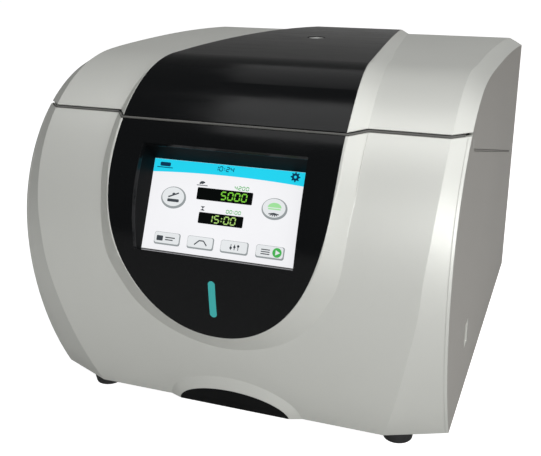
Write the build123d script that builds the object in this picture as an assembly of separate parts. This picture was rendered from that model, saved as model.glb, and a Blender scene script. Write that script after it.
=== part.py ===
from build123d import *
import math
import os

# Benchtop centrifuge with a swing-out rotor.
# Millimetres. X to the right, Y to the rear, Z up, origin on the table under the middle of the case.

# Overall case
WIDTH = 430.0
DEPTH = 516.0
FOOT_HEIGHT = 14.0
WALL = 3.0
FRONT_Y = -DEPTH / 2
REAR_Y = DEPTH / 2
HALF_WIDTH = WIDTH / 2

# Side outline of the case, in arcs from the belly line, which stands furthest forward, up and over the top
BELLY_Z = FOOT_HEIGHT + 169.0
TONGUE_RAISE = 13.0
TONGUE_LOWER_RADIUS = 458.0
TONGUE_FRONT_RADIUS = 178.0
TONGUE_FRONT_ANGLE = 62.0
TONGUE_BROW_RADIUS = 127.0
TONGUE_BROW_ANGLE = 89.4
SHELL_FRONT_ANGLE = 52.0
SHELL_BROW_RADIUS = 174.5
SHELL_TOP_RADIUS = 3000.0
BAND_TOP_RAISE = 5.0
LOWER_ANGLE = 28.0
REAR_ROUND = 15.0
REACH = 60.0
PROUD = 5.0
FRONT_STATIONS = 12
TOP_STATIONS = 5

# Facets between the front, the top and the sides
FACET_WIDTH = 15.0
BORDER_HALF = HALF_WIDTH - FACET_WIDTH
BORDER_LOSS = 44.0
BORDER_POWER = 2.0
BORDER_WALL_SHIFT = 0.27
FACET_INSET = 9.0
FACET_FOOT_INSET = 13.0
FACET_FOOT_Z = FOOT_HEIGHT + 137.0
FACET_FOOT_POWER = 1.2
CUTTER_INNER_STRETCH = 0.8
CUTTER_OUTER_STRETCH = 0.5

# Parting line between lid and base
SEAM_Z = FOOT_HEIGHT + 295.5
SEAM_GAP = 2.5
SEAM_CORNER = 14.0
SEAM_STEP = 18.5
SEAM_OVER_HINGE = 7.142
SEAM_START_Y = FRONT_Y + 90.0
SEAM_STEP_Y = SEAM_START_Y + SEAM_CORNER
SEAM_STEP_Z = SEAM_Z - SEAM_STEP

# Lid hinge
HINGE_Y = REAR_Y - 14.0
HINGE_Z = FOOT_HEIGHT + 162.0
SEAM_SLOPE = (SEAM_STEP_Z - HINGE_Z - SEAM_OVER_HINGE) / (HINGE_Y - SEAM_STEP_Y)
HINGE_EAR_RADIUS = 18.0
HINGE_CLEARANCE = 2.0
BARREL_RADIUS = 8.0
HINGE_PIN_RADIUS = 4.0
HINGE_X = HALF_WIDTH - 65.0
KNUCKLE_LENGTH = 14.0
KNUCKLE_GAP = 0.4
REAR_PANEL_TOP = HINGE_Z + 10.0
BRACKET_FOOT = HINGE_Z - 66.0
BRACKET_FLANGE = 24.0
BRACKET_HALF = 4.0
LEAF_NOTCH_MARGIN = 1.5
LEAF_NOTCH_DROP = 16.0
LEAF_THICKNESS = 3.5
LEAF_HEIGHT = 70.0
LEAF_NECK_HEIGHT = 12.0

# Raised tongue with the touch panel
PANEL_HALF = 111.5
PANEL_FOOT = FOOT_HEIGHT + 100.0
PANEL_SHOULDER = FOOT_HEIGHT + 262.0
PANEL_POWER = 2.1
TONGUE_HALF = 125.3
TONGUE_FOOT = FOOT_HEIGHT + 80.0
TONGUE_POWER = 2.4
PANEL_THICKNESS = 4.0
PANEL_RIM = 0.6
TONGUE_CUT_DEPTH = 90.0

# Lid band
BAND_START_Y = FRONT_Y + 66.0
BAND_FOOT_START_Y = FRONT_Y + 74.0
BAND_TAPER_LENGTH = 400.0
BAND_FIRST_ANGLE = 30.0
BAND_TAPER_POWER = 1.3
BAND_LOSS = 47.0
BAND_FOOT_LOSS = 53.0

# Arch at the foot of the front
ARCH_RAISE = 4.5
ARCH_HALF = 61.0
ARCH_HEIGHT = 30.0
ARCH_BORDER = 12.0
ARCH_THICKNESS = 3.0

# Display
SCREEN_WIDTH = 154.1
SCREEN_HEIGHT = 86.9
SCREEN_THICKNESS = 3.0
SCREEN_TILT = 26.2
SCREEN_Y = FRONT_Y + 30.2
SCREEN_Z = FOOT_HEIGHT + 219.2
POCKET_DEPTH = 30.0
POCKET_SIDE_FLARE = 6.7
POCKET_TOP_FLARE = 16.9
POCKET_FOOT_FLARE = 6.0
BEZEL_BORDER = 8.0
BEZEL_BACK = 6.0
SCREEN_REBATE = 3.0
SCREEN_LIP = 6.0
CONNECTOR_DEPTH = 20.0

# Status light bar
BAR_WIDTH = 7.0
BAR_FOOT = FOOT_HEIGHT + 123.0
BAR_TOP = FOOT_HEIGHT + 161.0
BAR_X = 0.0

# Chamber, deck and seal
AXIS_Y = FRONT_Y + 311.0
CHAMBER_RADIUS = 165.0
CHAMBER_DEPTH = 160.0
BOWL_WALL = 1.5
BOWL_CORNER = 25.0
BOWL_FLANGE = 9.0
DECK_TOP = SEAM_Z - 8.0
DECK_THICKNESS = 3.0
DECK_BOTTOM = DECK_TOP - DECK_THICKNESS
DECK_HALF = 206.0
DECK_REAR_Y = REAR_Y - 24.0
DECK_SKIRT_OVERLAP = 15.0
DECK_REAR_FOOT = HINGE_Z - 40.0
DECK_SIDE_START = SEAM_START_Y - 8.0
LINER_Z = SEAM_Z + SEAM_GAP / 2
LINER_THICKNESS = 3.0
FIT = 0.3
GASKET_WIDTH = 6.0
ARMOUR_GAP = 2.0
ARMOUR_WALL = 4.0
CHAMBER_FLOOR = DECK_TOP - CHAMBER_DEPTH
SHAFT_HOLE_RADIUS = 24.0

# Drive
SHAFT_RADIUS = 10.0
RUNNING_FIT = 0.05
MOTOR_RADIUS = 58.0
MOTOR_WALL = 6.0
MOTOR_HEIGHT = 90.0
MOTOR_PLATE_RADIUS = 82.0
MOTOR_PLATE_THICKNESS = 6.0
SEAL_HEIGHT = 10.5
BEARING_RADIUS = 20.0
BEARING_HEIGHT = 12.0
STATOR_INNER = 30.0
CORE_GAP = 2.0
DAMPER_RADIUS = 11.0
DAMPER_CIRCLE = 70.0
DAMPER_COUNT = 3
DAMPER_CAP = 5.0
DAMPER_WAIST = 2.5
SEAL_GAP = 3.0
SEAL_WALL = 8.0
WINDING_GAP = 4.0
CORE_SHORTER = 2.0
SHAFT_END_GAP = 2.0
PAN_THICKNESS = 2.5
PAN_TOP = FOOT_HEIGHT + PAN_THICKNESS
MOTOR_TOP = CHAMBER_FLOOR - SEAL_HEIGHT
MOTOR_BOTTOM = MOTOR_TOP - MOTOR_HEIGHT
MOTOR_PLATE_BOTTOM = MOTOR_BOTTOM - MOTOR_PLATE_THICKNESS

# Rotor and buckets
BUCKET_COUNT = 4
BUCKET_RADIUS = 24.0
BUCKET_WALL = 2.0
BUCKET_ABOVE = 24.0
BUCKET_BELOW = 66.0
PIVOT_RADIUS = 88.0
FLOOR_CLEARANCE = 12.0
PIVOT_Z = CHAMBER_FLOOR + BOWL_WALL + FLOOR_CLEARANCE + BUCKET_BELOW
YOKE_RADIUS = 106.0
YOKE_THICKNESS = 26.0
YOKE_SLOT_HALF = 33.0
YOKE_SLOT_ROOT = 52.0
YOKE_DISH_FOOT = 38.0
YOKE_DISH_TOP = 46.0
YOKE_DISH_DEPTH = 6.0
YOKE_BOTTOM = PIVOT_Z - YOKE_THICKNESS / 2
YOKE_TOP = PIVOT_Z + YOKE_THICKNESS / 2
TRUNNION_RADIUS = 4.0
TRUNNION_SET = 12.0
TRUNNION_REACH = 7.0
LUG_RADIUS = 8.0
LUG_OUT = 31.5
ADAPTER_BORE = 15.0
ADAPTER_FLOOR = 6.0
ADAPTER_SINK = 4.0
BUCKET_FLOOR = 4.0
BUCKET_CHAMFER = 4.0
NUT_RADIUS = 20.0
NUT_HEIGHT = 12.0
NUT_FLATS = 6
NUT_SKIRT_STEP = 3.0

# Viewing port in the lid
PORT_RADIUS = 10.5
PORT_LENS_RADIUS = 7.5
PORT_SINK = 1.2
PORT_FLANGE_LIFT = 0.6
PORT_STEP = 2.0
PORT_LENS_THICKNESS = 1.7
PORT_LENS_LIP = 1.5

# Latch
LATCH_Y = FRONT_Y + 106.0
LATCH_DROP = 42.0
LATCH_Z = DECK_BOTTOM - LATCH_DROP
HOOK_HALF = 5.0
HOOK_ARM_HALF = 5.0
HOOK_HEEL = 6.0
HOOK_ARM = 25.0
HOOK_TIP = 19.0
HOOK_TIP_HEIGHT = 5.0
HOOK_RELEASE = 25.0
HOOK_PIN_RADIUS = 3.0
STRIKER_HALF = 9.0
STRIKER_THICKNESS = 3.0
STRIKER_Y = LATCH_Y - 15.5
STRIKER_FOOT = LATCH_Z + 17.0
STRIKER_FLANGE = 24.0
STRIKER_FLANGE_FRONT = 9.0
WINDOW_HALF = 6.0
WINDOW_LOW = LATCH_Z + HOOK_ARM - 2.0
WINDOW_HIGH = LATCH_Z + HOOK_ARM + HOOK_TIP_HEIGHT + 6.0
CHEEK_THICKNESS = 3.0
CHEEK_FRONT = LATCH_Y - 5.0
CHEEK_REAR = LATCH_Y + 24.0
CHEEK_FOOT = LATCH_Z - 8.0
LATCH_MOTOR_FRONT = LATCH_Y - 1.0
LATCH_MOTOR_WIDTH = 34.0
LATCH_MOTOR_HEIGHT = 28.0
SLOT_FRONT = 20.0
SLOT_REAR = 2.5
SLOT_HALF = 12.0

# Rear panel fittings
FAN_SIZE = 80.0
FAN_DEPTH = 25.0
FAN_X = -110.0
FAN_Z = FOOT_HEIGHT + 66.0
FAN_HUB_RADIUS = 17.0
FAN_BLADE_RADIUS = 36.0
FAN_BORE_RADIUS = 38.0
FAN_BLADES = 7
FAN_SHAFT_RADIUS = 3.0
FAN_SPIDER = 3.0
FAN_SPIDER_HALF = 2.0
FAN_SPIDER_TURNS = (0, 90, 180, 270)
FAN_HUB_GAP = 0.5
FAN_HUB_SINK = 3.0
FAN_SHAFT_SINK = 6.0
BLADE_HALF_LENGTH = 8.0
BLADE_HALF_THICKNESS = 1.0
BLADE_PITCH = 38.0
GUARD_WIRE = 2.0
GUARD_FIRST_RING = 8.0
GUARD_RING_PITCH = 6.0
GUARD_RINGS = 5
GUARD_BAR_HALF = 1.2
INLET_X = 120.0
INLET_Z = FOOT_HEIGHT + 46.0
INLET_WIDTH = 32.0
INLET_HEIGHT = 26.0
INLET_DEPTH = 24.0
INLET_MOUTH_WIDTH = 24.0
INLET_MOUTH_HEIGHT = 16.5
INLET_MOUTH_DEPTH = 16.0
INLET_BLADES = ((-7.0, -2.0), (0.0, 3.0), (7.0, -2.0))
INLET_BLADE_SINK = 4.0

# Mains rocker on the right side
SWITCH_Y = FRONT_Y + 150.0
SWITCH_Z = FOOT_HEIGHT + 70.0
SWITCH_WIDTH = 24.0
SWITCH_HEIGHT = 33.0
SWITCH_DEPTH = 20.0
SWITCH_BORDER = 3.0
ROCKER_SWING = 8.0
ROCKER_PIN_RADIUS = 2.0
ROCKER_PIN_X = HALF_WIDTH - 9.0
ROCKER_FACE_X = HALF_WIDTH - 2.5
ROCKER_SIDE_GAP = 0.5
ROCKER_END_GAP = 1.2
ROCKER_EDGE = 4.0
ROCKER_DISH = 1.6
ROCKER_ROOT = 5.0
SWITCH_FLOOR = 2.0

# Feet and screws
FOOT_RADIUS = 17.0
FOOT_X = HALF_WIDTH - 50.0
FOOT_FRONT = FRONT_Y + 72.0
FOOT_REAR = REAR_Y - 42.0
FOOT_SCREW_RADIUS = 2.5
REAR_SCREW_RADIUS = 2.0
REAR_SCREW_HEAD = 3.6
REAR_SCREW_LENGTH = 10.0
SCREW_HEAD_HEIGHT = 1.6
REAR_SCREW_EDGE = 10.0
REAR_SCREW_Z = FOOT_HEIGHT + 15.0
PAN_TAB_HALF = 8.0
FAN_SCREW_EDGE = 5.0
FOOT_TAPER = 2.5
FOOT_RECESS = 6.0
FOOT_SCREW_HEAD = 5.0
FOOT_SCREW_HEAD_HEIGHT = 3.0
LID_SCREW_HEAD_HEIGHT = 2.0
LID_SPACER_RADIUS = 5.0
LID_SCREW_X = DECK_HALF - 30.0
LID_SCREW_FRONT = AXIS_Y - 110.0
LID_SCREW_REAR = REAR_Y - 60.0

# Louvres in the rear panel
LOUVRE_COUNT = 6
LOUVRE_PITCH = 12.0
LOUVRE_HEIGHT = 5.0
LOUVRE_LEFT = -40.0
LOUVRE_RIGHT = 60.0
LOUVRE_FOOT = FOOT_HEIGHT + 30.0

# Electronics
BOARD_THICKNESS = 1.6
BOARD_GAP = 14.0
POST_RADIUS = 3.0
POST_X = SCREEN_WIDTH / 2 - 2.0
POST_UP = SCREEN_HEIGHT / 2 - 8.0
SUPPLY_WIDTH = 120.0
SUPPLY_DEPTH = 62.0
SUPPLY_HEIGHT = 44.0
SUPPLY_X = -85.0
SUPPLY_Y = FRONT_Y + 92.0
SPRING_RADIUS = 6.5
SPRING_WIRE = 1.2
SPRING_TURNS = 10
SPRING_LENGTH = 24.0
SPRING_LEG_HALF = 2.0


class Outline:
    """Side outline made of tangent arcs, in the YZ plane, from below the belly line to the rear."""

    def __init__(self, belly_y, lower_radius, upper_arcs, top_radius):
        self.lower = (belly_y + lower_radius, BELLY_Z, lower_radius)
        self.arcs = []
        centre_y = belly_y + upper_arcs[0][0]
        centre_z = BELLY_Z
        radius = upper_arcs[0][0]
        start = 0.0
        for arc_radius, end in upper_arcs + [(top_radius, 180.0)]:
            turn = math.radians(start)
            centre_y += (arc_radius - radius) * math.cos(turn)
            centre_z -= (arc_radius - radius) * math.sin(turn)
            radius = arc_radius
            self.arcs.append((start, end, centre_y, centre_z, radius))
            start = end

    def top_angle(self, y, inset=0.0):
        """Angle at which the top arc reaches y"""
        start, end, centre_y, centre_z, radius = self.arcs[-1]
        return 90.0 + math.degrees(math.asin((y - centre_y) / (radius - inset)))

    def point(self, angle, inset=0.0):
        turn = math.radians(angle)
        if angle < 0:
            centre_y, centre_z, radius = self.lower
        else:
            centre_y, centre_z, radius = next(arc[2:] for arc in self.arcs if angle <= arc[1])
        y = centre_y - (radius - inset) * math.cos(turn)
        return y, centre_z + (radius - inset) * math.sin(turn)

    def angle_at(self, z, inset=0.0):
        """Angle of the front surface at height z, on the lower or the first upper arc"""
        radius = self.lower[2] if z < BELLY_Z else self.arcs[0][4]
        return math.degrees(math.asin((z - BELLY_Z) / (radius - inset)))

    def y_at(self, z, inset=0.0):
        return self.point(self.angle_at(z, inset), inset)[0]

    def nearest(self, y, z):
        """Point of the outline nearest to a point before or above it"""
        feet = []
        for start, end, centre_y, centre_z, _ in self.arcs:
            angle = math.degrees(math.atan2(z - centre_z, centre_y - y))
            feet.append(self.point(min(max(angle, start), end)))
        return min(feet, key=lambda foot: math.dist(foot, (y, z)))

    def solid(self, half_width, inset=0.0, rear=REAR_Y):
        """Everything behind the outline, as wide as given and square at the rear"""
        ends = [-LOWER_ANGLE, 0.0] + [arc[1] for arc in self.arcs[:-1]]
        ends.append(self.top_angle(rear - inset, inset))
        joints = [self.point(angle, inset) for angle in ends]
        middles = [self.point((low + high) / 2, inset) for low, high in zip(ends, ends[1:])]
        edges = []
        for points in zip(joints, middles, joints[1:]):
            edges.append(ThreePointArc(*[(-half_width, y, z) for y, z in points]))
        first = edges[0] @ 0
        corner = Vector(-half_width, rear - inset, first.Z)
        edges.append(Line(edges[-1] @ 1, corner))
        edges.append(Line(corner, first))
        face = Face(Wire(edges))
        top_corner = face.vertices().sort_by(lambda v: v.Y + v.Z)[-1]
        face = face.fillet_2d(REAR_ROUND - inset, [top_corner])
        return Solid.extrude(face, Vector(2 * half_width, 0, 0))


SHELL = Outline(
    FRONT_Y + TONGUE_RAISE,
    TONGUE_LOWER_RADIUS - TONGUE_RAISE,
    [(TONGUE_FRONT_RADIUS - TONGUE_RAISE, SHELL_FRONT_ANGLE), (SHELL_BROW_RADIUS, 90.0)],
    SHELL_TOP_RADIUS,
)
TONGUE = Outline(
    FRONT_Y,
    TONGUE_LOWER_RADIUS,
    [(TONGUE_FRONT_RADIUS, TONGUE_FRONT_ANGLE), (TONGUE_BROW_RADIUS, TONGUE_BROW_ANGLE)],
    SHELL_TOP_RADIUS + BAND_TOP_RAISE,
)


def block(x0, x1, y0, y1, z0, z1):
    """Box between two corners"""
    centre = Vector(x0 + x1, y0 + y1, z0 + z1) / 2
    return Pos(centre) * Box(x1 - x0, y1 - y0, z1 - z0)


def disc(x, y, z, radius, height):
    """Upright cylinder standing on z"""
    return Pos(x, y, z + height / 2) * Cylinder(radius, height)


def rod_x(x0, x1, y, z, radius):
    return Pos((x0 + x1) / 2, y, z) * Rot(0, 90, 0) * Cylinder(radius, x1 - x0)


def rod_y(x, y0, y1, z, radius):
    return Pos(x, (y0 + y1) / 2, z) * Rot(90, 0, 0) * Cylinder(radius, y1 - y0)


def both_sides(solid):
    return solid + mirror(solid, about=Plane.YZ)


def ring(x, y, z, outer, inner, height):
    return disc(x, y, z, outer, height) - disc(x, y, z, inner, height)


def border_half(z, inset):
    """Half-width of the front surface at height z, where the corner facet starts"""
    share = max(0.0, (SEAM_Z - z) / (SEAM_Z - FOOT_HEIGHT))
    return BORDER_HALF - BORDER_LOSS * share**BORDER_POWER - inset * BORDER_WALL_SHIFT


def facet_inset(z):
    """How far the facet's outer edge lies inside the front surface"""
    share = max(0.0, (FACET_FOOT_Z - z) / (FACET_FOOT_Z - FOOT_HEIGHT))
    return FACET_INSET + FACET_FOOT_INSET * share**FACET_FOOT_POWER


def ruled_cutter(inner_points, outer_points):
    """Everything to the right of the ruled strip between two lines, which is stretched past both"""
    inner_line = []
    outer_line = []
    for inner, outer in zip(inner_points, outer_points):
        span = outer - inner
        inner_line.append(inner - span * CUTTER_INNER_STRETCH)
        outer_line.append(outer + span * CUTTER_OUTER_STRETCH)
    strip = Face.make_surface_from_curves(Edge.make_spline(inner_line), Edge.make_spline(outer_line))
    return Solid.extrude(strip, Vector(WIDTH, 0, 0))


def stations(outline, first):
    """Angles along an outline, from the first one to past the rear"""
    front = [first + (90.0 - first) * i / FRONT_STATIONS for i in range(FRONT_STATIONS + 1)]
    last = outline.top_angle(REAR_Y + REACH)
    return front + [90.0 + (last - 90.0) * i / TOP_STATIONS for i in range(1, TOP_STATIONS + 1)]


def facet_cutter(inset):
    inner = []
    outer = []
    for angle in stations(SHELL, -LOWER_ANGLE):
        y, z = SHELL.point(angle, inset)
        inner.append(Vector(border_half(z, inset), y, z))
        y, z = SHELL.point(angle, inset + facet_inset(z))
        outer.append(Vector(HALF_WIDTH - inset, y, z))
    return ruled_cutter(inner, outer)


def case_form(inset):
    """The whole closed case without tongue, arch and band, set in by a wall"""
    form = SHELL.solid(HALF_WIDTH - inset, inset)
    cutter = facet_cutter(inset)
    return form - cutter - mirror(cutter, about=Plane.YZ)


def superellipse(half, shoulder, foot, power, angle):
    """Point of a U outline in front view, from its shoulder (0) to its foot (90)"""
    turn = math.radians(angle)
    x = half * max(0.0, math.cos(turn)) ** (2 / power)
    return x, shoulder - (shoulder - foot) * math.sin(turn) ** (2 / power)


def u_outline(half, foot, power, inset):
    """Right half of a U outline, from above the parting line down to its foot"""
    outline = [(half - inset, SEAM_Z + REACH / 2), (half - inset, (SEAM_Z + PANEL_SHOULDER) / 2)]
    for angle in range(0, 91, 10):
        outline.append(superellipse(half - inset, PANEL_SHOULDER, foot + inset, power, angle))
    return outline


def closed_wire(points):
    """Smooth outline through a right half and its mirror image, closed by a straight line"""
    mirrored = [Vector(-p.X, p.Y, p.Z) for p in points[-2::-1]]
    curve = Edge.make_spline(points + mirrored)
    return Wire([curve, Edge.make_line(curve @ 1, curve @ 0)])


def flared(outer_profile, inner_profile, outer_half, inner_half, outer_y, inner_y):
    """Solid whose side runs from one outline on one surface to a second on a surface behind it"""
    front = []
    back = []
    for (x0, z0), (x1, z1) in zip(outer_half, inner_half):
        start = Vector(x0, outer_profile(z0), z0)
        span = Vector(x1, inner_profile(z1), z1) - start
        front.append(start + span * ((outer_y - start.Y) / span.Y))
        back.append(start + span * ((inner_y - start.Y) / span.Y))
    return Solid.make_loft([closed_wire(front), closed_wire(back)], True)


def tongue_solid(inset):
    """Raised tongue: chamfered from the touch panel's outline down to the shell"""
    side = flared(
        TONGUE.y_at,
        SHELL.y_at,
        u_outline(PANEL_HALF, PANEL_FOOT, PANEL_POWER, inset),
        u_outline(TONGUE_HALF, TONGUE_FOOT, TONGUE_POWER, inset),
        FRONT_Y - PROUD,
        FRONT_Y + TONGUE_CUT_DEPTH,
    )
    set_in = inset + (PANEL_THICKNESS if inset else 0.0)
    return side & TONGUE.solid(TONGUE_HALF + 1.0, set_in)


def arch_outline(border):
    """Half of the arch in its own plane, from well below the case up to its crown"""
    half = ARCH_HALF + border
    height = ARCH_HEIGHT + border
    points = [(half, -REACH / 2), (half, -REACH / 4)]
    for angle in range(0, 91, 10):
        turn = math.radians(angle)
        points.append((half * math.cos(turn), height * math.sin(turn)))
    return points


def arch_plane(offset):
    """Plane up the foot of the front, moved out along its own normal"""
    crown_z = FOOT_HEIGHT + ARCH_HEIGHT
    foot = Vector(0, SHELL.y_at(FOOT_HEIGHT), FOOT_HEIGHT)
    rise = Vector(0, SHELL.y_at(crown_z), crown_z) - foot
    normal = Vector(1, 0, 0).cross(rise).normalized()
    return Plane(foot + normal * offset, x_dir=(1, 0, 0), z_dir=normal)


def arch_wire(border, offset):
    plane = arch_plane(offset)
    return closed_wire([plane.from_local_coords(Vector(x, y, 0)) for x, y in arch_outline(border)])


def arch_solid():
    """Raised arch at the foot of the front, with its sloping rim"""
    back = arch_wire(2 * ARCH_BORDER, -ARCH_RAISE)
    front = arch_wire(-ARCH_BORDER, 2 * ARCH_RAISE)
    return Solid.make_loft([back, front], True) & SHELL.solid(HALF_WIDTH, -ARCH_RAISE)


def band_half(y, start_y, half, loss):
    """Half-width of the lid band, which narrows towards the rear"""
    share = max(0.0, (y - start_y) / BAND_TAPER_LENGTH)
    return half - loss * share**BAND_TAPER_POWER


def band_solid():
    """Raised lid band with its chamfered sides"""
    inner = []
    outer = []
    for angle in stations(TONGUE, BAND_FIRST_ANGLE):
        y, z = TONGUE.point(angle)
        inner.append(Vector(band_half(y, BAND_START_Y, PANEL_HALF, BAND_LOSS), y, z))
        y, z = SHELL.nearest(y, z)
        outer.append(Vector(band_half(y, BAND_FOOT_START_Y, TONGUE_HALF, BAND_FOOT_LOSS), y, z))
    cutter = ruled_cutter(inner, outer)
    form = TONGUE.solid(TONGUE_HALF + PROUD) - cutter - mirror(cutter, about=Plane.YZ)
    return form - SHELL.solid(HALF_WIDTH, 2 * WALL)


def band_plan():
    """The band's visible outline seen from above, as an upright prism"""
    rows = [BAND_START_Y - REACH / 2, BAND_START_Y]
    rows += [BAND_START_Y + BAND_TAPER_LENGTH / 10 * i for i in range(1, 13)]
    right = [Vector(band_half(y, BAND_START_Y, PANEL_HALF, BAND_LOSS) - PANEL_RIM, y, 0) for y in rows]
    left = [Vector(-p.X, p.Y, 0) for p in reversed(right)]
    edge_right = Edge.make_spline(right)
    edge_left = Edge.make_spline(left)
    rear = Edge.make_line(edge_right @ 1, edge_left @ 0)
    front = Edge.make_line(edge_left @ 1, edge_right @ 0)
    face = Face(Wire([edge_right, rear, edge_left, front]))
    return Solid.extrude(face, Vector(0, 0, SEAM_Z + 2 * REACH))


def seam_line(offset):
    """Parting line seen from the side, from the front over its corner and down to the rear"""
    rear_y = REAR_Y + REACH
    rear_z = SEAM_STEP_Z - SEAM_SLOPE * (rear_y - SEAM_STEP_Y)
    points = [(FRONT_Y - REACH, SEAM_Z), (SEAM_START_Y, SEAM_Z), (SEAM_STEP_Y, SEAM_STEP_Z), (rear_y, rear_z)]
    return [(y, z + offset) for y, z in points]


def below_line(offset, z_floor):
    """Everything under the parting line, over the full width"""
    line = seam_line(offset)
    points = line + [(line[-1][0], z_floor), (line[0][0], z_floor)]
    wire = Wire.make_polygon([(-WIDTH, y, z) for y, z in points])
    return Solid.extrude(Face(wire), Vector(2 * WIDTH, 0, 0))


def hinge_disc(radius, half):
    return rod_x(-half, half, HINGE_Y, HINGE_Z, radius)


def base_shell(void):
    """Outer skin of the base in one piece, before it is parted into covers"""
    outer = case_form(0) + tongue_solid(0) + arch_solid()
    return (outer & below_line(-SEAM_GAP / 2, FOOT_HEIGHT)) - void - tongue_solid(WALL)


def screen_plane(offset):
    """Plane of the display, moved out along its own normal"""
    turn = math.radians(SCREEN_TILT)
    normal = Vector(0, -math.cos(turn), math.sin(turn))
    return Plane(Vector(0, SCREEN_Y, SCREEN_Z) + normal * offset, x_dir=(1, 0, 0), z_dir=normal)


def screen_block(half_width, low, high, back, front):
    """Box in the display's own plane"""
    size = Box(2 * half_width, high - low, front - back)
    return screen_plane((back + front) / 2) * (Pos(0, (low + high) / 2, 0) * size)


def screen_pocket():
    """Flared hollow from the display out through the panel"""
    inner = screen_plane(0) * Rectangle(SCREEN_WIDTH, SCREEN_HEIGHT)
    width = SCREEN_WIDTH + 2 * POCKET_SIDE_FLARE
    height = SCREEN_HEIGHT + POCKET_TOP_FLARE + POCKET_FOOT_FLARE
    rise = (POCKET_TOP_FLARE - POCKET_FOOT_FLARE) / 2
    outer = screen_plane(POCKET_DEPTH) * (Pos(0, rise) * Rectangle(width, height))
    return loft([inner, outer], ruled=True)


def bezel_block():
    low = -SCREEN_HEIGHT / 2 - BEZEL_BORDER
    high = SCREEN_HEIGHT / 2 + POCKET_TOP_FLARE + BEZEL_BORDER / 2
    half = SCREEN_WIDTH / 2 + BEZEL_BORDER + SCREEN_REBATE
    frame = screen_block(half, low, high, -BEZEL_BACK, POCKET_DEPTH)
    return frame & TONGUE.solid(HALF_WIDTH, PANEL_THICKNESS)


def display_screen():
    half = SCREEN_WIDTH / 2 + SCREEN_REBATE
    tall = SCREEN_HEIGHT / 2 + SCREEN_REBATE
    return screen_block(half, -tall, tall, -SCREEN_THICKNESS, 0)


def screen_bezel():
    return bezel_block() - screen_pocket() - display_screen() - screen_opening()


def screen_opening():
    """Window behind the display for its connector"""
    half = SCREEN_WIDTH / 2 - SCREEN_LIP
    tall = SCREEN_HEIGHT / 2 - SCREEN_LIP
    return screen_block(half, -tall, tall, -CONNECTOR_DEPTH, 0)


def panel_blank():
    """Full sheet of the touch panel, before its openings"""
    points = u_outline(PANEL_HALF, PANEL_FOOT, PANEL_POWER, PANEL_RIM)
    wire = closed_wire([Vector(x, FRONT_Y - PROUD, z) for x, z in points])
    prism = Solid.extrude(Face(wire), Vector(0, TONGUE_CUT_DEPTH, 0))
    sheet = TONGUE.solid(HALF_WIDTH) - TONGUE.solid(WIDTH, PANEL_THICKNESS)
    return prism & sheet & below_line(-SEAM_GAP / 2, FOOT_HEIGHT)


def status_light_bar():
    radius = BAR_WIDTH / 2
    low = BAR_FOOT + radius
    high = BAR_TOP - radius
    y0 = FRONT_Y - PROUD
    y1 = FRONT_Y + 2 * PROUD
    slot = block(BAR_X - radius, BAR_X + radius, y0, y1, low, high)
    slot += rod_y(BAR_X, y0, y1, low, radius)
    slot += rod_y(BAR_X, y0, y1, high, radius)
    return slot & (TONGUE.solid(HALF_WIDTH) - TONGUE.solid(WIDTH, PANEL_THICKNESS))


def touch_panel():
    return panel_blank() - screen_pocket() - status_light_bar()


def arch_blank():
    back = Face(arch_wire(-PANEL_RIM, -2 * ARCH_RAISE))
    prism = Solid.extrude(back, arch_plane(0).z_dir * 4 * ARCH_RAISE)
    sheet = SHELL.solid(HALF_WIDTH, -ARCH_RAISE) - SHELL.solid(WIDTH, ARCH_THICKNESS - ARCH_RAISE)
    above_floor = block(-WIDTH, WIDTH, FRONT_Y, 0, FOOT_HEIGHT, SEAM_Z)
    return prism & sheet & above_floor


def front_cover(skin):
    """Front of the base between the two side panels"""
    half = HALF_WIDTH - WALL
    between = block(-half, half, FRONT_Y - PROUD, REAR_Y - WALL, 0, 2 * SEAM_Z)
    return (skin & between) - panel_blank() - arch_blank() - bezel_block()


def side_panel_right(skin):
    slab = block(HALF_WIDTH - WALL, HALF_WIDTH + 1, FRONT_Y, REAR_Y + 1, 0, 2 * SEAM_Z)
    panel = (skin & slab) + rod_x(HALF_WIDTH - WALL, HALF_WIDTH, HINGE_Y, HINGE_Z, HINGE_EAR_RADIUS)
    panel = panel & block(0, HALF_WIDTH, FRONT_Y, REAR_Y, 0, 2 * SEAM_Z)
    return panel - switch_hole()


def side_panel_left(skin):
    slab = block(-HALF_WIDTH - 1, -HALF_WIDTH + WALL, FRONT_Y, REAR_Y + 1, 0, 2 * SEAM_Z)
    panel = (skin & slab) + rod_x(-HALF_WIDTH, -HALF_WIDTH + WALL, HINGE_Y, HINGE_Z, HINGE_EAR_RADIUS)
    return panel & block(-HALF_WIDTH, 0, FRONT_Y, REAR_Y, 0, 2 * SEAM_Z)


def rear_screw_places():
    edge = HALF_WIDTH - WALL - REAR_SCREW_EDGE
    return [(x, REAR_SCREW_Z) for x in (-edge, 0.0, edge)]


def bracket_screw_places():
    reach = HINGE_X + (KNUCKLE_LENGTH + KNUCKLE_GAP) / 2
    return [(x, BRACKET_FOOT + BRACKET_FLANGE / 2) for x in (-reach, reach)]


def fan_screw_places():
    reach = FAN_SIZE / 2 - FAN_SCREW_EDGE
    return [(FAN_X + x, FAN_Z + z) for x in (-reach, reach) for z in (-reach, reach)]


def all_screw_places():
    return rear_screw_places() + bracket_screw_places() + fan_screw_places()


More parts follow.
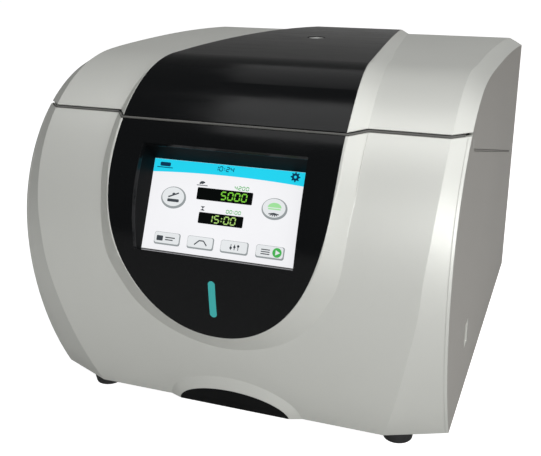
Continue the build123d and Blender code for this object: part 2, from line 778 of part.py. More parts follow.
def rear_panel():
    """Flat rear panel, notched at the top where the hinge leaves swing"""
    edge = HALF_WIDTH - WALL
    panel = block(-edge, edge, REAR_Y - WALL, REAR_Y, FOOT_HEIGHT, REAR_PANEL_TOP)
    for side in (-1, 1):
        x = side * (HINGE_X - (KNUCKLE_LENGTH + KNUCKLE_GAP) / 2)
        half = KNUCKLE_LENGTH / 2 + LEAF_NOTCH_MARGIN
        panel -= block(x - half, x + half, REAR_Y - WALL, REAR_Y, HINGE_Z - LEAF_NOTCH_DROP, REAR_PANEL_TOP)
    panel -= rod_y(FAN_X, REAR_Y - WALL, REAR_Y, FAN_Z, FAN_BORE_RADIUS)
    panel -= inlet_body()
    for x, z in all_screw_places():
        panel -= rear_screw(x, z)
    for row in range(LOUVRE_COUNT):
        z = LOUVRE_FOOT + LOUVRE_PITCH * row
        panel -= block(LOUVRE_LEFT, LOUVRE_RIGHT, REAR_Y - WALL, REAR_Y, z, z + LOUVRE_HEIGHT)
    return panel


def rear_screw(x, z):
    """Countersunk screw, flush with the panel"""
    head = rod_y(x, REAR_Y - SCREW_HEAD_HEIGHT, REAR_Y, z, REAR_SCREW_HEAD)
    return head + rod_y(x, REAR_Y - REAR_SCREW_LENGTH, REAR_Y, z, REAR_SCREW_RADIUS)


def rear_screws():
    return [rear_screw(x, z) for x, z in all_screw_places()]


def base_pan(void):
    pan = void & block(-WIDTH, WIDTH, -DEPTH, DEPTH, FOOT_HEIGHT, PAN_TOP)
    for x, y in foot_places():
        pan -= disc(x, y, FOOT_HEIGHT, FOOT_SCREW_RADIUS, PAN_THICKNESS)
    half = PAN_TAB_HALF
    rear = REAR_Y - WALL
    for x, z in rear_screw_places():
        tab = block(x - half, x + half, rear - half, rear, FOOT_HEIGHT, z + half)
        pan += tab - rear_screw(x, z)
    return pan


def foot_places():
    return [(x, y) for x in (-FOOT_X, FOOT_X) for y in (FOOT_FRONT, FOOT_REAR)]


def rubber_foot(x, y):
    body = Pos(x, y, FOOT_HEIGHT / 2) * Cone(FOOT_RADIUS - FOOT_TAPER, FOOT_RADIUS, FOOT_HEIGHT)
    recess = disc(x, y, 0, FOOT_RECESS, FOOT_RECESS)
    return body - recess - disc(x, y, 0, FOOT_SCREW_RADIUS, FOOT_HEIGHT)


def foot_screw(x, y):
    head_foot = FOOT_RECESS - FOOT_SCREW_HEAD_HEIGHT
    head = disc(x, y, head_foot, FOOT_SCREW_HEAD, FOOT_SCREW_HEAD_HEIGHT)
    return head + disc(x, y, FOOT_RECESS, FOOT_SCREW_RADIUS, PAN_TOP + WALL - FOOT_RECESS)


def top_deck():
    """Deck round the chamber, with the walls that the lid's skirts close over"""
    inside = case_form(WALL + FIT)
    plate = inside & block(-WIDTH, WIDTH, -DEPTH, DECK_REAR_Y, DECK_BOTTOM, DECK_TOP)
    beside = block(DECK_HALF, WIDTH, DECK_SIDE_START, REAR_Y, 0, 2 * SEAM_Z)
    plate -= both_sides(beside)
    tub = block(-DECK_HALF, DECK_HALF, DECK_SIDE_START, DECK_REAR_Y, 0, DECK_TOP)
    half = DECK_HALF - WALL
    rear = DECK_REAR_Y - WALL
    hollow = block(-half, half, -DEPTH, rear, 0, DECK_BOTTOM)
    walls = (tub - hollow) - below_line(-DECK_SKIRT_OVERLAP, 0)
    walls += block(-DECK_HALF, DECK_HALF, rear, DECK_REAR_Y, DECK_REAR_FOOT, DECK_BOTTOM)
    deck = plate + walls
    deck -= disc(0, AXIS_Y, DECK_BOTTOM, CHAMBER_RADIUS + BOWL_WALL + FIT, DECK_THICKNESS)
    slot = block(-SLOT_HALF, SLOT_HALF, LATCH_Y - SLOT_FRONT, LATCH_Y - SLOT_REAR, DECK_BOTTOM, DECK_TOP)
    return deck - slot


def bowl_profile(radius, floor, top):
    """Half section of a round-bottomed bowl, in the XZ plane"""
    corner = BOWL_CORNER - (CHAMBER_RADIUS - radius)
    turn = corner * math.sqrt(0.5)
    middle = (radius - corner + turn, 0, floor + corner - turn)
    curve = ThreePointArc((radius - corner, 0, floor), middle, (radius, 0, floor + corner))
    lines = [
        Line((0, 0, floor), (radius - corner, 0, floor)),
        curve,
        Line((radius, 0, floor + corner), (radius, 0, top)),
        Line((radius, 0, top), (0, 0, top)),
        Line((0, 0, top), (0, 0, floor)),
    ]
    return Pos(0, AXIS_Y, 0) * Solid.revolve(Face(Wire(lines)), 360, Axis.Z)


def chamber_bowl():
    top = DECK_TOP + BOWL_WALL
    outer = bowl_profile(CHAMBER_RADIUS + BOWL_WALL, CHAMBER_FLOOR, top)
    flange = disc(0, AXIS_Y, DECK_TOP, CHAMBER_RADIUS + BOWL_FLANGE, BOWL_WALL)
    inner = bowl_profile(CHAMBER_RADIUS, CHAMBER_FLOOR + BOWL_WALL, top)
    return outer + flange - inner - disc(0, AXIS_Y, CHAMBER_FLOOR, SHAFT_HOLE_RADIUS, BOWL_WALL)


def chamber_gasket():
    inner = CHAMBER_RADIUS + BOWL_FLANGE + FIT
    return ring(0, AXIS_Y, DECK_TOP, inner + GASKET_WIDTH, inner, LINER_Z - FIT - DECK_TOP)


def armour_ring():
    inner = CHAMBER_RADIUS + BOWL_WALL + ARMOUR_GAP
    foot = CHAMBER_FLOOR + BOWL_CORNER
    return ring(0, AXIS_Y, foot, inner + ARMOUR_WALL, inner, DECK_BOTTOM - foot)


def damper_places():
    turns = [math.radians(90 + 360 / DAMPER_COUNT * i) for i in range(DAMPER_COUNT)]
    return [(DAMPER_CIRCLE * math.cos(t), AXIS_Y + DAMPER_CIRCLE * math.sin(t)) for t in turns]


def motor_damper(x, y):
    body = disc(x, y, PAN_TOP, DAMPER_RADIUS, MOTOR_PLATE_BOTTOM - PAN_TOP)
    height = MOTOR_PLATE_BOTTOM - PAN_TOP - 2 * DAMPER_CAP
    return body - ring(x, y, PAN_TOP + DAMPER_CAP, DAMPER_RADIUS, DAMPER_RADIUS - DAMPER_WAIST, height)


def motor_plate():
    return disc(0, AXIS_Y, MOTOR_PLATE_BOTTOM, MOTOR_PLATE_RADIUS, MOTOR_PLATE_THICKNESS)


def bearing_places():
    return (MOTOR_BOTTOM + MOTOR_WALL, MOTOR_TOP - MOTOR_WALL - BEARING_HEIGHT)


def motor_housing():
    can = disc(0, AXIS_Y, MOTOR_BOTTOM, MOTOR_RADIUS, MOTOR_HEIGHT)
    inner = MOTOR_HEIGHT - 2 * (MOTOR_WALL + BEARING_HEIGHT)
    can -= disc(0, AXIS_Y, MOTOR_BOTTOM + MOTOR_WALL + BEARING_HEIGHT, MOTOR_RADIUS - MOTOR_WALL, inner)
    for z in bearing_places():
        can -= disc(0, AXIS_Y, z, BEARING_RADIUS, BEARING_HEIGHT)
    return can - disc(0, AXIS_Y, MOTOR_TOP - MOTOR_WALL, SHAFT_RADIUS + SEAL_GAP, MOTOR_WALL)


def motor_bearings():
    return [
        ring(0, AXIS_Y, z, BEARING_RADIUS, SHAFT_RADIUS + RUNNING_FIT, BEARING_HEIGHT)
        for z in bearing_places()
    ]


def stator_span():
    end = MOTOR_WALL + BEARING_HEIGHT + WINDING_GAP
    return MOTOR_BOTTOM + end, MOTOR_TOP - end


def motor_stator():
    low, high = stator_span()
    return ring(0, AXIS_Y, low, MOTOR_RADIUS - MOTOR_WALL, STATOR_INNER, high - low)


def motor_core():
    low, high = stator_span()
    height = high - low - 2 * CORE_SHORTER
    return ring(0, AXIS_Y, low + CORE_SHORTER, STATOR_INNER - CORE_GAP, SHAFT_RADIUS, height)


def drive_shaft():
    foot = MOTOR_BOTTOM + MOTOR_WALL + SHAFT_END_GAP
    return disc(0, AXIS_Y, foot, SHAFT_RADIUS, YOKE_TOP - foot)


def shaft_seal():
    outer = ring(0, AXIS_Y, MOTOR_TOP, SHAFT_HOLE_RADIUS + SEAL_WALL, SHAFT_RADIUS + SEAL_GAP, SEAL_HEIGHT)
    return outer - disc(0, AXIS_Y, MOTOR_TOP + SEAL_GAP, SHAFT_HOLE_RADIUS, SEAL_HEIGHT - SEAL_GAP)


def bucket_turns():
    return [360.0 / BUCKET_COUNT * i for i in range(BUCKET_COUNT)]


def around_axis(solid, turn):
    return Pos(0, AXIS_Y, 0) * Rot(0, 0, turn) * Pos(0, -AXIS_Y, 0) * solid


def trunnion(side):
    """Pin that stands into a bucket slot, for the bucket on the +X side"""
    inner = side * (YOKE_SLOT_HALF - TRUNNION_REACH)
    outer = side * (YOKE_SLOT_HALF + TRUNNION_SET)
    low, high = sorted((inner, outer))
    return rod_y(PIVOT_RADIUS, AXIS_Y + low, AXIS_Y + high, PIVOT_Z, TRUNNION_RADIUS)


def trunnion_pins():
    return [around_axis(trunnion(side), turn) for turn in bucket_turns() for side in (1, -1)]


def rotor_yoke():
    """Plate with a slot for each bucket and a hub round the shaft"""
    yoke = disc(0, AXIS_Y, YOKE_BOTTOM, YOKE_RADIUS, YOKE_THICKNESS)
    slot = block(YOKE_SLOT_ROOT, WIDTH, AXIS_Y - YOKE_SLOT_HALF, AXIS_Y + YOKE_SLOT_HALF, 0, SEAM_Z)
    for turn in bucket_turns():
        yoke -= around_axis(slot, turn)
        for side in (1, -1):
            yoke -= around_axis(trunnion(side), turn)
    place = Pos(0, AXIS_Y, YOKE_TOP - YOKE_DISH_DEPTH / 2)
    dish = place * Cone(YOKE_DISH_FOOT, YOKE_DISH_TOP, YOKE_DISH_DEPTH)
    return yoke - dish - disc(0, AXIS_Y, YOKE_BOTTOM, SHAFT_RADIUS, YOKE_THICKNESS)


def rotor_nut():
    hexagon = Plane.XY.offset(YOKE_TOP) * Pos(0, AXIS_Y) * RegularPolygon(NUT_RADIUS, NUT_FLATS)
    body = extrude(hexagon, NUT_HEIGHT)
    skirt_radius = NUT_RADIUS - NUT_SKIRT_STEP
    foot = YOKE_TOP - YOKE_DISH_DEPTH
    return body + ring(0, AXIS_Y, foot, skirt_radius, SHAFT_RADIUS, YOKE_DISH_DEPTH)


def bucket():
    """Cup that hangs from two trunnions, for the +X side"""
    top = PIVOT_Z + BUCKET_ABOVE
    foot = PIVOT_Z - BUCKET_BELOW
    height = top - foot
    cup = disc(PIVOT_RADIUS, AXIS_Y, foot, BUCKET_RADIUS, height)
    edges = cup.edges().filter_by(GeomType.CIRCLE).sort_by(Axis.Z)
    cup = chamfer(edges[0], BUCKET_CHAMFER)
    lugs = rod_y(PIVOT_RADIUS, AXIS_Y - LUG_OUT, AXIS_Y + LUG_OUT, PIVOT_Z, LUG_RADIUS)
    bore_half = YOKE_SLOT_HALF - TRUNNION_REACH - FIT
    cup += lugs
    cup -= disc(PIVOT_RADIUS, AXIS_Y, foot + BUCKET_FLOOR, BUCKET_RADIUS - BUCKET_WALL, height)
    for side in (1, -1):
        low, high = sorted((side * bore_half, side * WIDTH))
        cup -= rod_y(PIVOT_RADIUS, AXIS_Y + low, AXIS_Y + high, PIVOT_Z, TRUNNION_RADIUS + RUNNING_FIT)
    return cup


def tube_adapter():
    top = PIVOT_Z + BUCKET_ABOVE - ADAPTER_SINK
    foot = PIVOT_Z - BUCKET_BELOW + BUCKET_FLOOR
    body = disc(PIVOT_RADIUS, AXIS_Y, foot, BUCKET_RADIUS - BUCKET_WALL - FIT, top - foot)
    return body - disc(PIVOT_RADIUS, AXIS_Y, foot + ADAPTER_FLOOR, ADAPTER_BORE, top - foot)


def lid_region():
    """Space of the lid: above the parting line and clear of the hinge ears"""
    space = block(-WIDTH, WIDTH, -DEPTH, DEPTH, 0, 2 * SEAM_Z) - below_line(SEAM_GAP / 2, -1.0)
    space -= hinge_disc(HINGE_EAR_RADIUS + HINGE_CLEARANCE, WIDTH)
    return space - block(-WIDTH, WIDTH, HINGE_Y, DEPTH, 0, HINGE_Z)


def band_blank():
    sheet = TONGUE.solid(HALF_WIDTH) - TONGUE.solid(WIDTH, PANEL_THICKNESS, REAR_Y + REACH)
    above = block(-WIDTH, WIDTH, -DEPTH, DEPTH, SEAM_Z, 2 * SEAM_Z)
    return band_plan() & sheet & lid_region() & above


def port_z():
    """Height of the band's surface over the rotor's axis"""
    return TONGUE.point(TONGUE.top_angle(AXIS_Y))[1]


def lid_shell(void):
    shell = ((case_form(0) + band_solid()) & lid_region()) - void - band_blank()
    return shell - disc(0, AXIS_Y, LINER_Z, PORT_RADIUS - PORT_STEP, SEAM_Z)


def lid_band():
    return band_blank() - disc(0, AXIS_Y, LINER_Z, PORT_RADIUS, SEAM_Z)


def port_bezel():
    """Ring in the band, with a tube that reaches down to the liner"""
    top = port_z() - PORT_SINK
    flange_foot = port_z() - PANEL_THICKNESS + PORT_FLANGE_LIFT
    flange = disc(0, AXIS_Y, flange_foot, PORT_RADIUS - FIT / 2, top - flange_foot)
    tube = disc(0, AXIS_Y, LINER_Z, PORT_RADIUS - PORT_STEP - FIT / 2, flange_foot - LINER_Z)
    lens_seat = disc(0, AXIS_Y, top - PORT_STEP, PORT_LENS_RADIUS, 2 * PORT_STEP)
    bore = disc(0, AXIS_Y, LINER_Z, PORT_LENS_RADIUS - PORT_LENS_LIP, SEAM_Z)
    return flange + tube - lens_seat - bore


def port_lens():
    top = port_z() - PORT_SINK
    return disc(0, AXIS_Y, top - PORT_STEP, PORT_LENS_RADIUS, PORT_LENS_THICKNESS)


def lid_liner():
    inside = case_form(WALL + FIT)
    plate = inside & block(-WIDTH, WIDTH, -DEPTH, DEPTH, LINER_Z, LINER_Z + LINER_THICKNESS)
    plate -= disc(0, AXIS_Y, LINER_Z, PORT_RADIUS - PORT_STEP, LINER_THICKNESS)
    for x, y in lid_screw_places():
        plate -= disc(x, y, LINER_Z, REAR_SCREW_RADIUS + FIT, LINER_THICKNESS)
    return plate


def lid_screw_places():
    return [(x, y) for x in (-LID_SCREW_X, LID_SCREW_X) for y in (LID_SCREW_FRONT, LID_SCREW_REAR)]


def lid_screw(x, y):
    """Screw with its spacer between the liner and the lid's skin"""
    skin = SHELL.point(SHELL.top_angle(y + LID_SPACER_RADIUS))[1] - WALL - FIT
    head = disc(x, y, LINER_Z - LID_SCREW_HEAD_HEIGHT, REAR_SCREW_HEAD, LID_SCREW_HEAD_HEIGHT)
    shank = disc(x, y, LINER_Z, REAR_SCREW_RADIUS, LINER_THICKNESS)
    spacer_foot = LINER_Z + LINER_THICKNESS
    return head + shank + disc(x, y, spacer_foot, LID_SPACER_RADIUS, skin - spacer_foot)


def striker():
    """Plate with a window, hung from the lid's liner"""
    half = STRIKER_THICKNESS / 2
    plate = block(-STRIKER_HALF, STRIKER_HALF, STRIKER_Y - half, STRIKER_Y + half, STRIKER_FOOT, LINER_Z)
    front = STRIKER_Y - STRIKER_FLANGE_FRONT
    rear = STRIKER_Y + half
    window = block(-WINDOW_HALF, WINDOW_HALF, front, rear, WINDOW_LOW, WINDOW_HIGH)
    foot = LINER_Z - STRIKER_THICKNESS
    flange = block(-STRIKER_FLANGE, STRIKER_FLANGE, front, rear, foot, LINER_Z)
    return plate + flange - window


def latch_hook():
    """Hook that swings forward into the striker's window. It rests swung back."""
    y = LATCH_Y
    z = LATCH_Z
    nose_z = z + HOOK_ARM
    top = nose_z + HOOK_TIP_HEIGHT
    arm = block(-HOOK_HALF, HOOK_HALF, y - HOOK_ARM_HALF, y + HOOK_ARM_HALF, z - HOOK_HEEL, top)
    nose = block(-HOOK_HALF, HOOK_HALF, y - HOOK_TIP, y, nose_z, top)
    hook = arm + nose - rod_x(-WIDTH, WIDTH, y, z, HOOK_PIN_RADIUS + RUNNING_FIT)
    return Pos(0, y, z) * Rot(-HOOK_RELEASE, 0, 0) * Pos(0, -y, -z) * hook


def latch_housing():
    """Two cheeks under the deck with the hook's pin between them"""
    inner = HOOK_HALF + FIT
    cheek = block(inner, inner + CHEEK_THICKNESS, CHEEK_FRONT, CHEEK_REAR, CHEEK_FOOT, DECK_BOTTOM)
    pin = rod_x(-inner, inner, LATCH_Y, LATCH_Z, HOOK_PIN_RADIUS)
    bridge_front = CHEEK_REAR - CHEEK_THICKNESS
    bridge = block(-inner, inner, bridge_front, CHEEK_REAR, CHEEK_FOOT, DECK_BOTTOM)
    return both_sides(cheek) + pin + bridge


def latch_motor():
    inner = HOOK_HALF + FIT + CHEEK_THICKNESS
    outer = inner + LATCH_MOTOR_WIDTH
    rear = CHEEK_REAR - CHEEK_THICKNESS
    return block(inner, outer, LATCH_MOTOR_FRONT, rear, CHEEK_FOOT, CHEEK_FOOT + LATCH_MOTOR_HEIGHT)


def hinge_bracket(x):
    """Base half of a hinge: an outer knuckle on an arm, screwed to the rear panel"""
    side = math.copysign(1, x)
    centre = x + side * (KNUCKLE_LENGTH + KNUCKLE_GAP) / 2
    half = KNUCKLE_LENGTH / 2
    front = HINGE_Y - BRACKET_HALF
    arm = block(centre - half, centre + half, front, HINGE_Y + BRACKET_HALF, BRACKET_FOOT, HINGE_Z)
    flange_top = BRACKET_FOOT + BRACKET_FLANGE
    flange = block(centre - half, centre + half, front, REAR_Y - WALL, BRACKET_FOOT, flange_top)
    bracket = arm + flange + knuckle(centre)
    return bracket - hinge_pin(x) - rear_screw(centre, BRACKET_FOOT + BRACKET_FLANGE / 2)


def hinge_leaf(x):
    """Lid half of a hinge: an inner knuckle with a leaf on the lid's rear wall"""
    side = math.copysign(1, x)
    centre = x - side * (KNUCKLE_LENGTH + KNUCKLE_GAP) / 2
    half = KNUCKLE_LENGTH / 2
    leaf_y = REAR_Y - WALL
    low = centre - half
    high = centre + half
    leaf = block(low, high, leaf_y - LEAF_THICKNESS, leaf_y, HINGE_Z, HINGE_Z + LEAF_HEIGHT)
    leaf += block(low, high, HINGE_Y, leaf_y, HINGE_Z, HINGE_Z + LEAF_NECK_HEIGHT)
    leaf += knuckle(centre)
    return leaf - rod_x(-WIDTH, WIDTH, HINGE_Y, HINGE_Z, HINGE_PIN_RADIUS + RUNNING_FIT)


def knuckle(centre):
    half = KNUCKLE_LENGTH / 2
    return rod_x(centre - half, centre + half, HINGE_Y, HINGE_Z, BARREL_RADIUS)


def hinge_pin(x):
    """Pin through both knuckles, long enough outside to carry the spring"""
    side = math.copysign(1, x)
    reach = KNUCKLE_LENGTH + KNUCKLE_GAP / 2
    low, high = sorted((x - side * reach, x + side * (reach + SPRING_LENGTH)))
    return rod_x(low, high, HINGE_Y, HINGE_Z, HINGE_PIN_RADIUS)


def torsion_spring(x):
    """Close-wound lid spring round the outer end of the hinge pin, with its leg on the bracket"""
    side = math.copysign(1, x)
    start = x + side * (KNUCKLE_LENGTH + KNUCKLE_GAP / 2)
    pitch = SPRING_LENGTH / SPRING_TURNS
    low, high = sorted((start, start + side * SPRING_LENGTH))
    coil = rod_x(low, high, HINGE_Y, HINGE_Z, SPRING_RADIUS - SPRING_WIRE)
    for turn in range(SPRING_TURNS):
        place = Pos(start + side * pitch * (turn + 0.5), HINGE_Y, HINGE_Z) * Rot(0, 90, 0)
        coil += place * Torus(SPRING_RADIUS - SPRING_WIRE, SPRING_WIRE)
    low, high = sorted((start, start + side * pitch))
    leg_foot = BRACKET_FOOT + BRACKET_FLANGE
    half = SPRING_LEG_HALF
    coil += block(low, high, HINGE_Y - half, HINGE_Y + half, leg_foot, HINGE_Z - HINGE_PIN_RADIUS)
    return coil - rod_x(-WIDTH, WIDTH, HINGE_Y, HINGE_Z, HINGE_PIN_RADIUS + FIT)


def fan_frame():
    """Square frame with a round duct and a spider that holds the fan's shaft"""
    rear = REAR_Y - WALL
    front = rear - FAN_DEPTH
    spider = front + FAN_SPIDER
    half = FAN_SIZE / 2
    frame = block(FAN_X - half, FAN_X + half, front, rear, FAN_Z - half, FAN_Z + half)
    frame -= rod_y(FAN_X, front, rear, FAN_Z, FAN_BORE_RADIUS)
    frame += rod_y(FAN_X, front, spider, FAN_Z, FAN_HUB_RADIUS)
    half = FAN_SPIDER_HALF
    arm = block(FAN_HUB_RADIUS - half, FAN_BORE_RADIUS + half, front, spider, -half, half)
    for turn in FAN_SPIDER_TURNS:
        frame += Pos(FAN_X, 0, FAN_Z) * Rot(0, turn, 0) * arm
    frame += rod_y(FAN_X, spider, rear - FAN_SHAFT_SINK, FAN_Z, FAN_SHAFT_RADIUS)
    for x, z in fan_screw_places():
        frame -= rear_screw(x, z)
    return frame


def fan_impeller():
    rear = REAR_Y - WALL - FAN_HUB_SINK
    front = REAR_Y - WALL - FAN_DEPTH + FAN_SPIDER + FAN_HUB_GAP
    hub = rod_y(FAN_X, front, rear, FAN_Z, FAN_HUB_RADIUS)
    long = BLADE_HALF_LENGTH
    thick = BLADE_HALF_THICKNESS
    blade = block(FAN_HUB_RADIUS - long / 4, FAN_BLADE_RADIUS, -long, long, -thick, thick)
    blade = Pos(0, (front + rear) / 2, 0) * Rot(BLADE_PITCH, 0, 0) * blade
    for index in range(FAN_BLADES):
        hub += Pos(FAN_X, 0, FAN_Z) * Rot(0, 360 / FAN_BLADES * index, 0) * blade
    return hub - rod_y(FAN_X, front, rear - FAN_HUB_SINK / 2, FAN_Z, FAN_SHAFT_RADIUS + RUNNING_FIT)


def fan_guard():
    """Finger guard of wire rings in the panel's fan hole"""
    low = REAR_Y - GUARD_WIRE
    bar = block(-WIDTH, WIDTH, low, REAR_Y, -GUARD_BAR_HALF, GUARD_BAR_HALF)
    place = Pos(FAN_X, 0, FAN_Z)
    guard = place * Rot(0, 45, 0) * bar + place * Rot(0, 135, 0) * bar
    for index in range(GUARD_RINGS):
        radius = GUARD_FIRST_RING + GUARD_RING_PITCH * index
        outer = rod_y(FAN_X, low, REAR_Y, FAN_Z, radius + GUARD_WIRE / 2)
        guard += outer - rod_y(FAN_X, low, REAR_Y, FAN_Z, radius - GUARD_WIRE / 2)
    return guard & rod_y(FAN_X, low, REAR_Y, FAN_Z, FAN_BORE_RADIUS)


def inlet_body():
    x = INLET_WIDTH / 2
    z = INLET_HEIGHT / 2
    return block(INLET_X - x, INLET_X + x, REAR_Y - INLET_DEPTH, REAR_Y, INLET_Z - z, INLET_Z + z)


def power_inlet():
    """Mains inlet with three contact blades in its mouth"""
    x = INLET_MOUTH_WIDTH / 2
    z = INLET_MOUTH_HEIGHT / 2
    depth = INLET_MOUTH_DEPTH
    mouth = block(INLET_X - x, INLET_X + x, REAR_Y - depth, REAR_Y, INLET_Z - z, INLET_Z + z)
    inlet = inlet_body() - mouth
    front = REAR_Y - INLET_BLADE_SINK
    for offset, height in INLET_BLADES:
        blade_x = INLET_X + offset
        blade_z = INLET_Z + height
        inlet += block(blade_x - 1, blade_x + 1, REAR_Y - depth - 1, front, blade_z - 2, blade_z + 2)
    return inlet


def switch_hole():
    y = SWITCH_WIDTH / 2
    z = SWITCH_HEIGHT / 2
    return block(HALF_WIDTH - WALL, HALF_WIDTH, SWITCH_Y - y, SWITCH_Y + y, SWITCH_Z - z, SWITCH_Z + z)


def switch_housing():
    """Body of the mains switch, flush with the side panel, hollow for the rocker"""
    y = SWITCH_WIDTH / 2
    z = SWITCH_HEIGHT / 2
    low = HALF_WIDTH - SWITCH_DEPTH
    body = block(low, HALF_WIDTH, SWITCH_Y - y, SWITCH_Y + y, SWITCH_Z - z, SWITCH_Z + z)
    y -= SWITCH_BORDER
    z -= SWITCH_BORDER
    body -= block(low + SWITCH_FLOOR, HALF_WIDTH, SWITCH_Y - y, SWITCH_Y + y, SWITCH_Z - z, SWITCH_Z + z)
    return body + rod_y(ROCKER_PIN_X, SWITCH_Y - y - 1, SWITCH_Y + y + 1, SWITCH_Z, ROCKER_PIN_RADIUS)


def power_rocker():
    """Rocker that tips about its pin, stored tipped to its off side"""
    y = SWITCH_WIDTH / 2 - SWITCH_BORDER - ROCKER_SIDE_GAP
    z = SWITCH_HEIGHT / 2 - SWITCH_BORDER - ROCKER_END_GAP
    pin_x = ROCKER_PIN_X
    face_x = ROCKER_FACE_X
    root_x = pin_x - ROCKER_ROOT
    edge_x = face_x - ROCKER_EDGE
    points = [(root_x, -ROCKER_EDGE), (edge_x, -z), (face_x, -z), (face_x - ROCKER_DISH, 0)]
    points += [(face_x, z), (edge_x, z), (root_x, ROCKER_EDGE)]
    wire = Wire.make_polygon([(px, SWITCH_Y - y, SWITCH_Z + pz) for px, pz in points])
    rocker = Solid.extrude(Face(wire), Vector(0, 2 * y, 0))
    rocker -= rod_y(pin_x, -DEPTH, DEPTH, SWITCH_Z, ROCKER_PIN_RADIUS + RUNNING_FIT)
    turn = Pos(pin_x, SWITCH_Y, SWITCH_Z) * Rot(0, ROCKER_SWING, 0) * Pos(-pin_x, -SWITCH_Y, -SWITCH_Z)
    return turn * rocker


def control_board():
    """Board behind the display, on four posts from the bezel's back"""
    back = -BEZEL_BACK - BOARD_GAP
    half = SCREEN_WIDTH / 2
    tall = SCREEN_HEIGHT / 2
    board = screen_block(half, -tall, tall, back, back + BOARD_THICKNESS)
    for x in (-POST_X, POST_X):
        for up in (-POST_UP, POST_UP):
            post = Pos(x, up, 0) * Cylinder(POST_RADIUS, BOARD_GAP - BOARD_THICKNESS)
            board += screen_plane((back + BOARD_THICKNESS - BEZEL_BACK) / 2) * post
    return board


def power_supply():
    x = SUPPLY_WIDTH / 2
    y = SUPPLY_DEPTH / 2
    return block(SUPPLY_X - x, SUPPLY_X + x, SUPPLY_Y - y, SUPPLY_Y + y, PAN_TOP, PAN_TOP + SUPPLY_HEIGHT)


def as_list(shape):
    return list(shape) if isinstance(shape, (list, tuple)) else list(shape.solids())


def write(name, shape):
    export_step(Compound(children=as_list(shape)), f"parts/{name}.step")


def main():
    os.makedirs("parts", exist_ok=True)
    void = case_form(WALL)
    skin = base_shell(void)
    write("front_cover", front_cover(skin))
    write("side_panel_left", side_panel_left(skin))
    write("side_panel_right", side_panel_right(skin))
    write("rear_panel", rear_panel())
    write("base_pan", base_pan(case_form(WALL + FIT)))
    write("top_deck", top_deck())
    write("touch_panel", touch_panel())
    write("status_light_bar", status_light_bar())
    write("arch_cover", arch_blank())
    write("screen_bezel", screen_bezel())
    write("display_screen", display_screen())
    write("control_board", control_board())
    write("power_supply", power_supply())
    write("rubber_feet", [rubber_foot(x, y) for x, y in foot_places()])
    write("foot_screws", [foot_screw(x, y) for x, y in foot_places()])
    write("rear_screws", rear_screws())
    write("chamber_bowl", chamber_bowl())
    write("chamber_gasket", chamber_gasket())
    write("armour_ring", armour_ring())
    write("motor_plate", motor_plate())
    write("motor_dampers", [motor_damper(x, y) for x, y in damper_places()])
    write("motor_housing", motor_housing())
    write("motor_bearings", motor_bearings())
    write("motor_stator", motor_stator())
    write("shaft_seal", shaft_seal())
    write("drive_shaft", drive_shaft())
    write("motor_core", motor_core())
    write("rotor_yoke", rotor_yoke())
    write("trunnion_pins", trunnion_pins())
    write("rotor_nut", rotor_nut())
    cup = bucket()
    adapter = tube_adapter()
    for index, turn in enumerate(bucket_turns()):
        write(f"bucket_{index + 1}", around_axis(cup, turn))
        write(f"tube_adapter_{index + 1}", around_axis(adapter, turn))
    write("lid_shell", lid_shell(void))
    write("lid_band", lid_band())
    write("lid_liner", lid_liner())
    write("lid_screws", [lid_screw(x, y) for x, y in lid_screw_places()])
    write("port_bezel", port_bezel())
    write("port_lens", port_lens())
    write("striker", striker())
    write("latch_hook", latch_hook())
    write("latch_housing", latch_housing())
    write("latch_motor", latch_motor())
    write("hinge_brackets", [hinge_bracket(x) for x in (-HINGE_X, HINGE_X)])
    write("hinge_leaves", [hinge_leaf(x) for x in (-HINGE_X, HINGE_X)])
    write("hinge_pins", [hinge_pin(x) for x in (-HINGE_X, HINGE_X)])
    write("torsion_springs", [torsion_spring(x) for x in (-HINGE_X, HINGE_X)])
    write("fan_frame", fan_frame())
    write("fan_impeller", fan_impeller())
    write("fan_guard", fan_guard())
    write("power_inlet", power_inlet())
    write("switch_housing", switch_housing())
    write("power_rocker", power_rocker())


main()
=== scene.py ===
# %% [markdown]
# # A benchtop centrifuge, dressed for its picture
#
# The centrifuge is a faceted grey case with a raised tongue that holds a glossy black control panel.
# The shapes come from the CAD frame, already in metres and already standing where they belong, so this
# lesson is about everything that CAD leaves out: camera, light, finishes, the picture on the display
# and the small fittings that are too fine for the frame.

# %% Load the frame
import bpy
import bmesh
import math
from mathutils import Matrix, Vector


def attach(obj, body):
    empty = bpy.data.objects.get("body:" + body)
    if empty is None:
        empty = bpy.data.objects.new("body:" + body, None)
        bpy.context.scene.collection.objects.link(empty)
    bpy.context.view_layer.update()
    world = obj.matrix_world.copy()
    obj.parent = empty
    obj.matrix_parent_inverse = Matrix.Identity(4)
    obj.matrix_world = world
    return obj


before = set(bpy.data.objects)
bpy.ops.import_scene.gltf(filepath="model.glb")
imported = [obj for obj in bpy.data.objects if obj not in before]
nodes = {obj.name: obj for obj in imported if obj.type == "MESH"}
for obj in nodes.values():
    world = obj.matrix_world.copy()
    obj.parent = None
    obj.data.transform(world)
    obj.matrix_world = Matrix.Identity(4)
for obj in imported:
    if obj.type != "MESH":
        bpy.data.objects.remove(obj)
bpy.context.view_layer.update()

# %% [markdown]
# ## Camera
# The picture was taken from the front right, a little above the lid. Blender could aim a camera with a
# constraint, but the exact stance is known as three turns and a place, so the camera's axes are written
# out and put in a matrix. That keeps the perspective, which shows in how fast the side wall shrinks.

# %% Place the camera
YAW, PITCH, ROLL = 0.36645204, 0.36490737, -0.01338555
EYE = (0.30748, -0.90483, 0.49951)
SENSOR_MM, LENS_MM = 36.0, 56.65

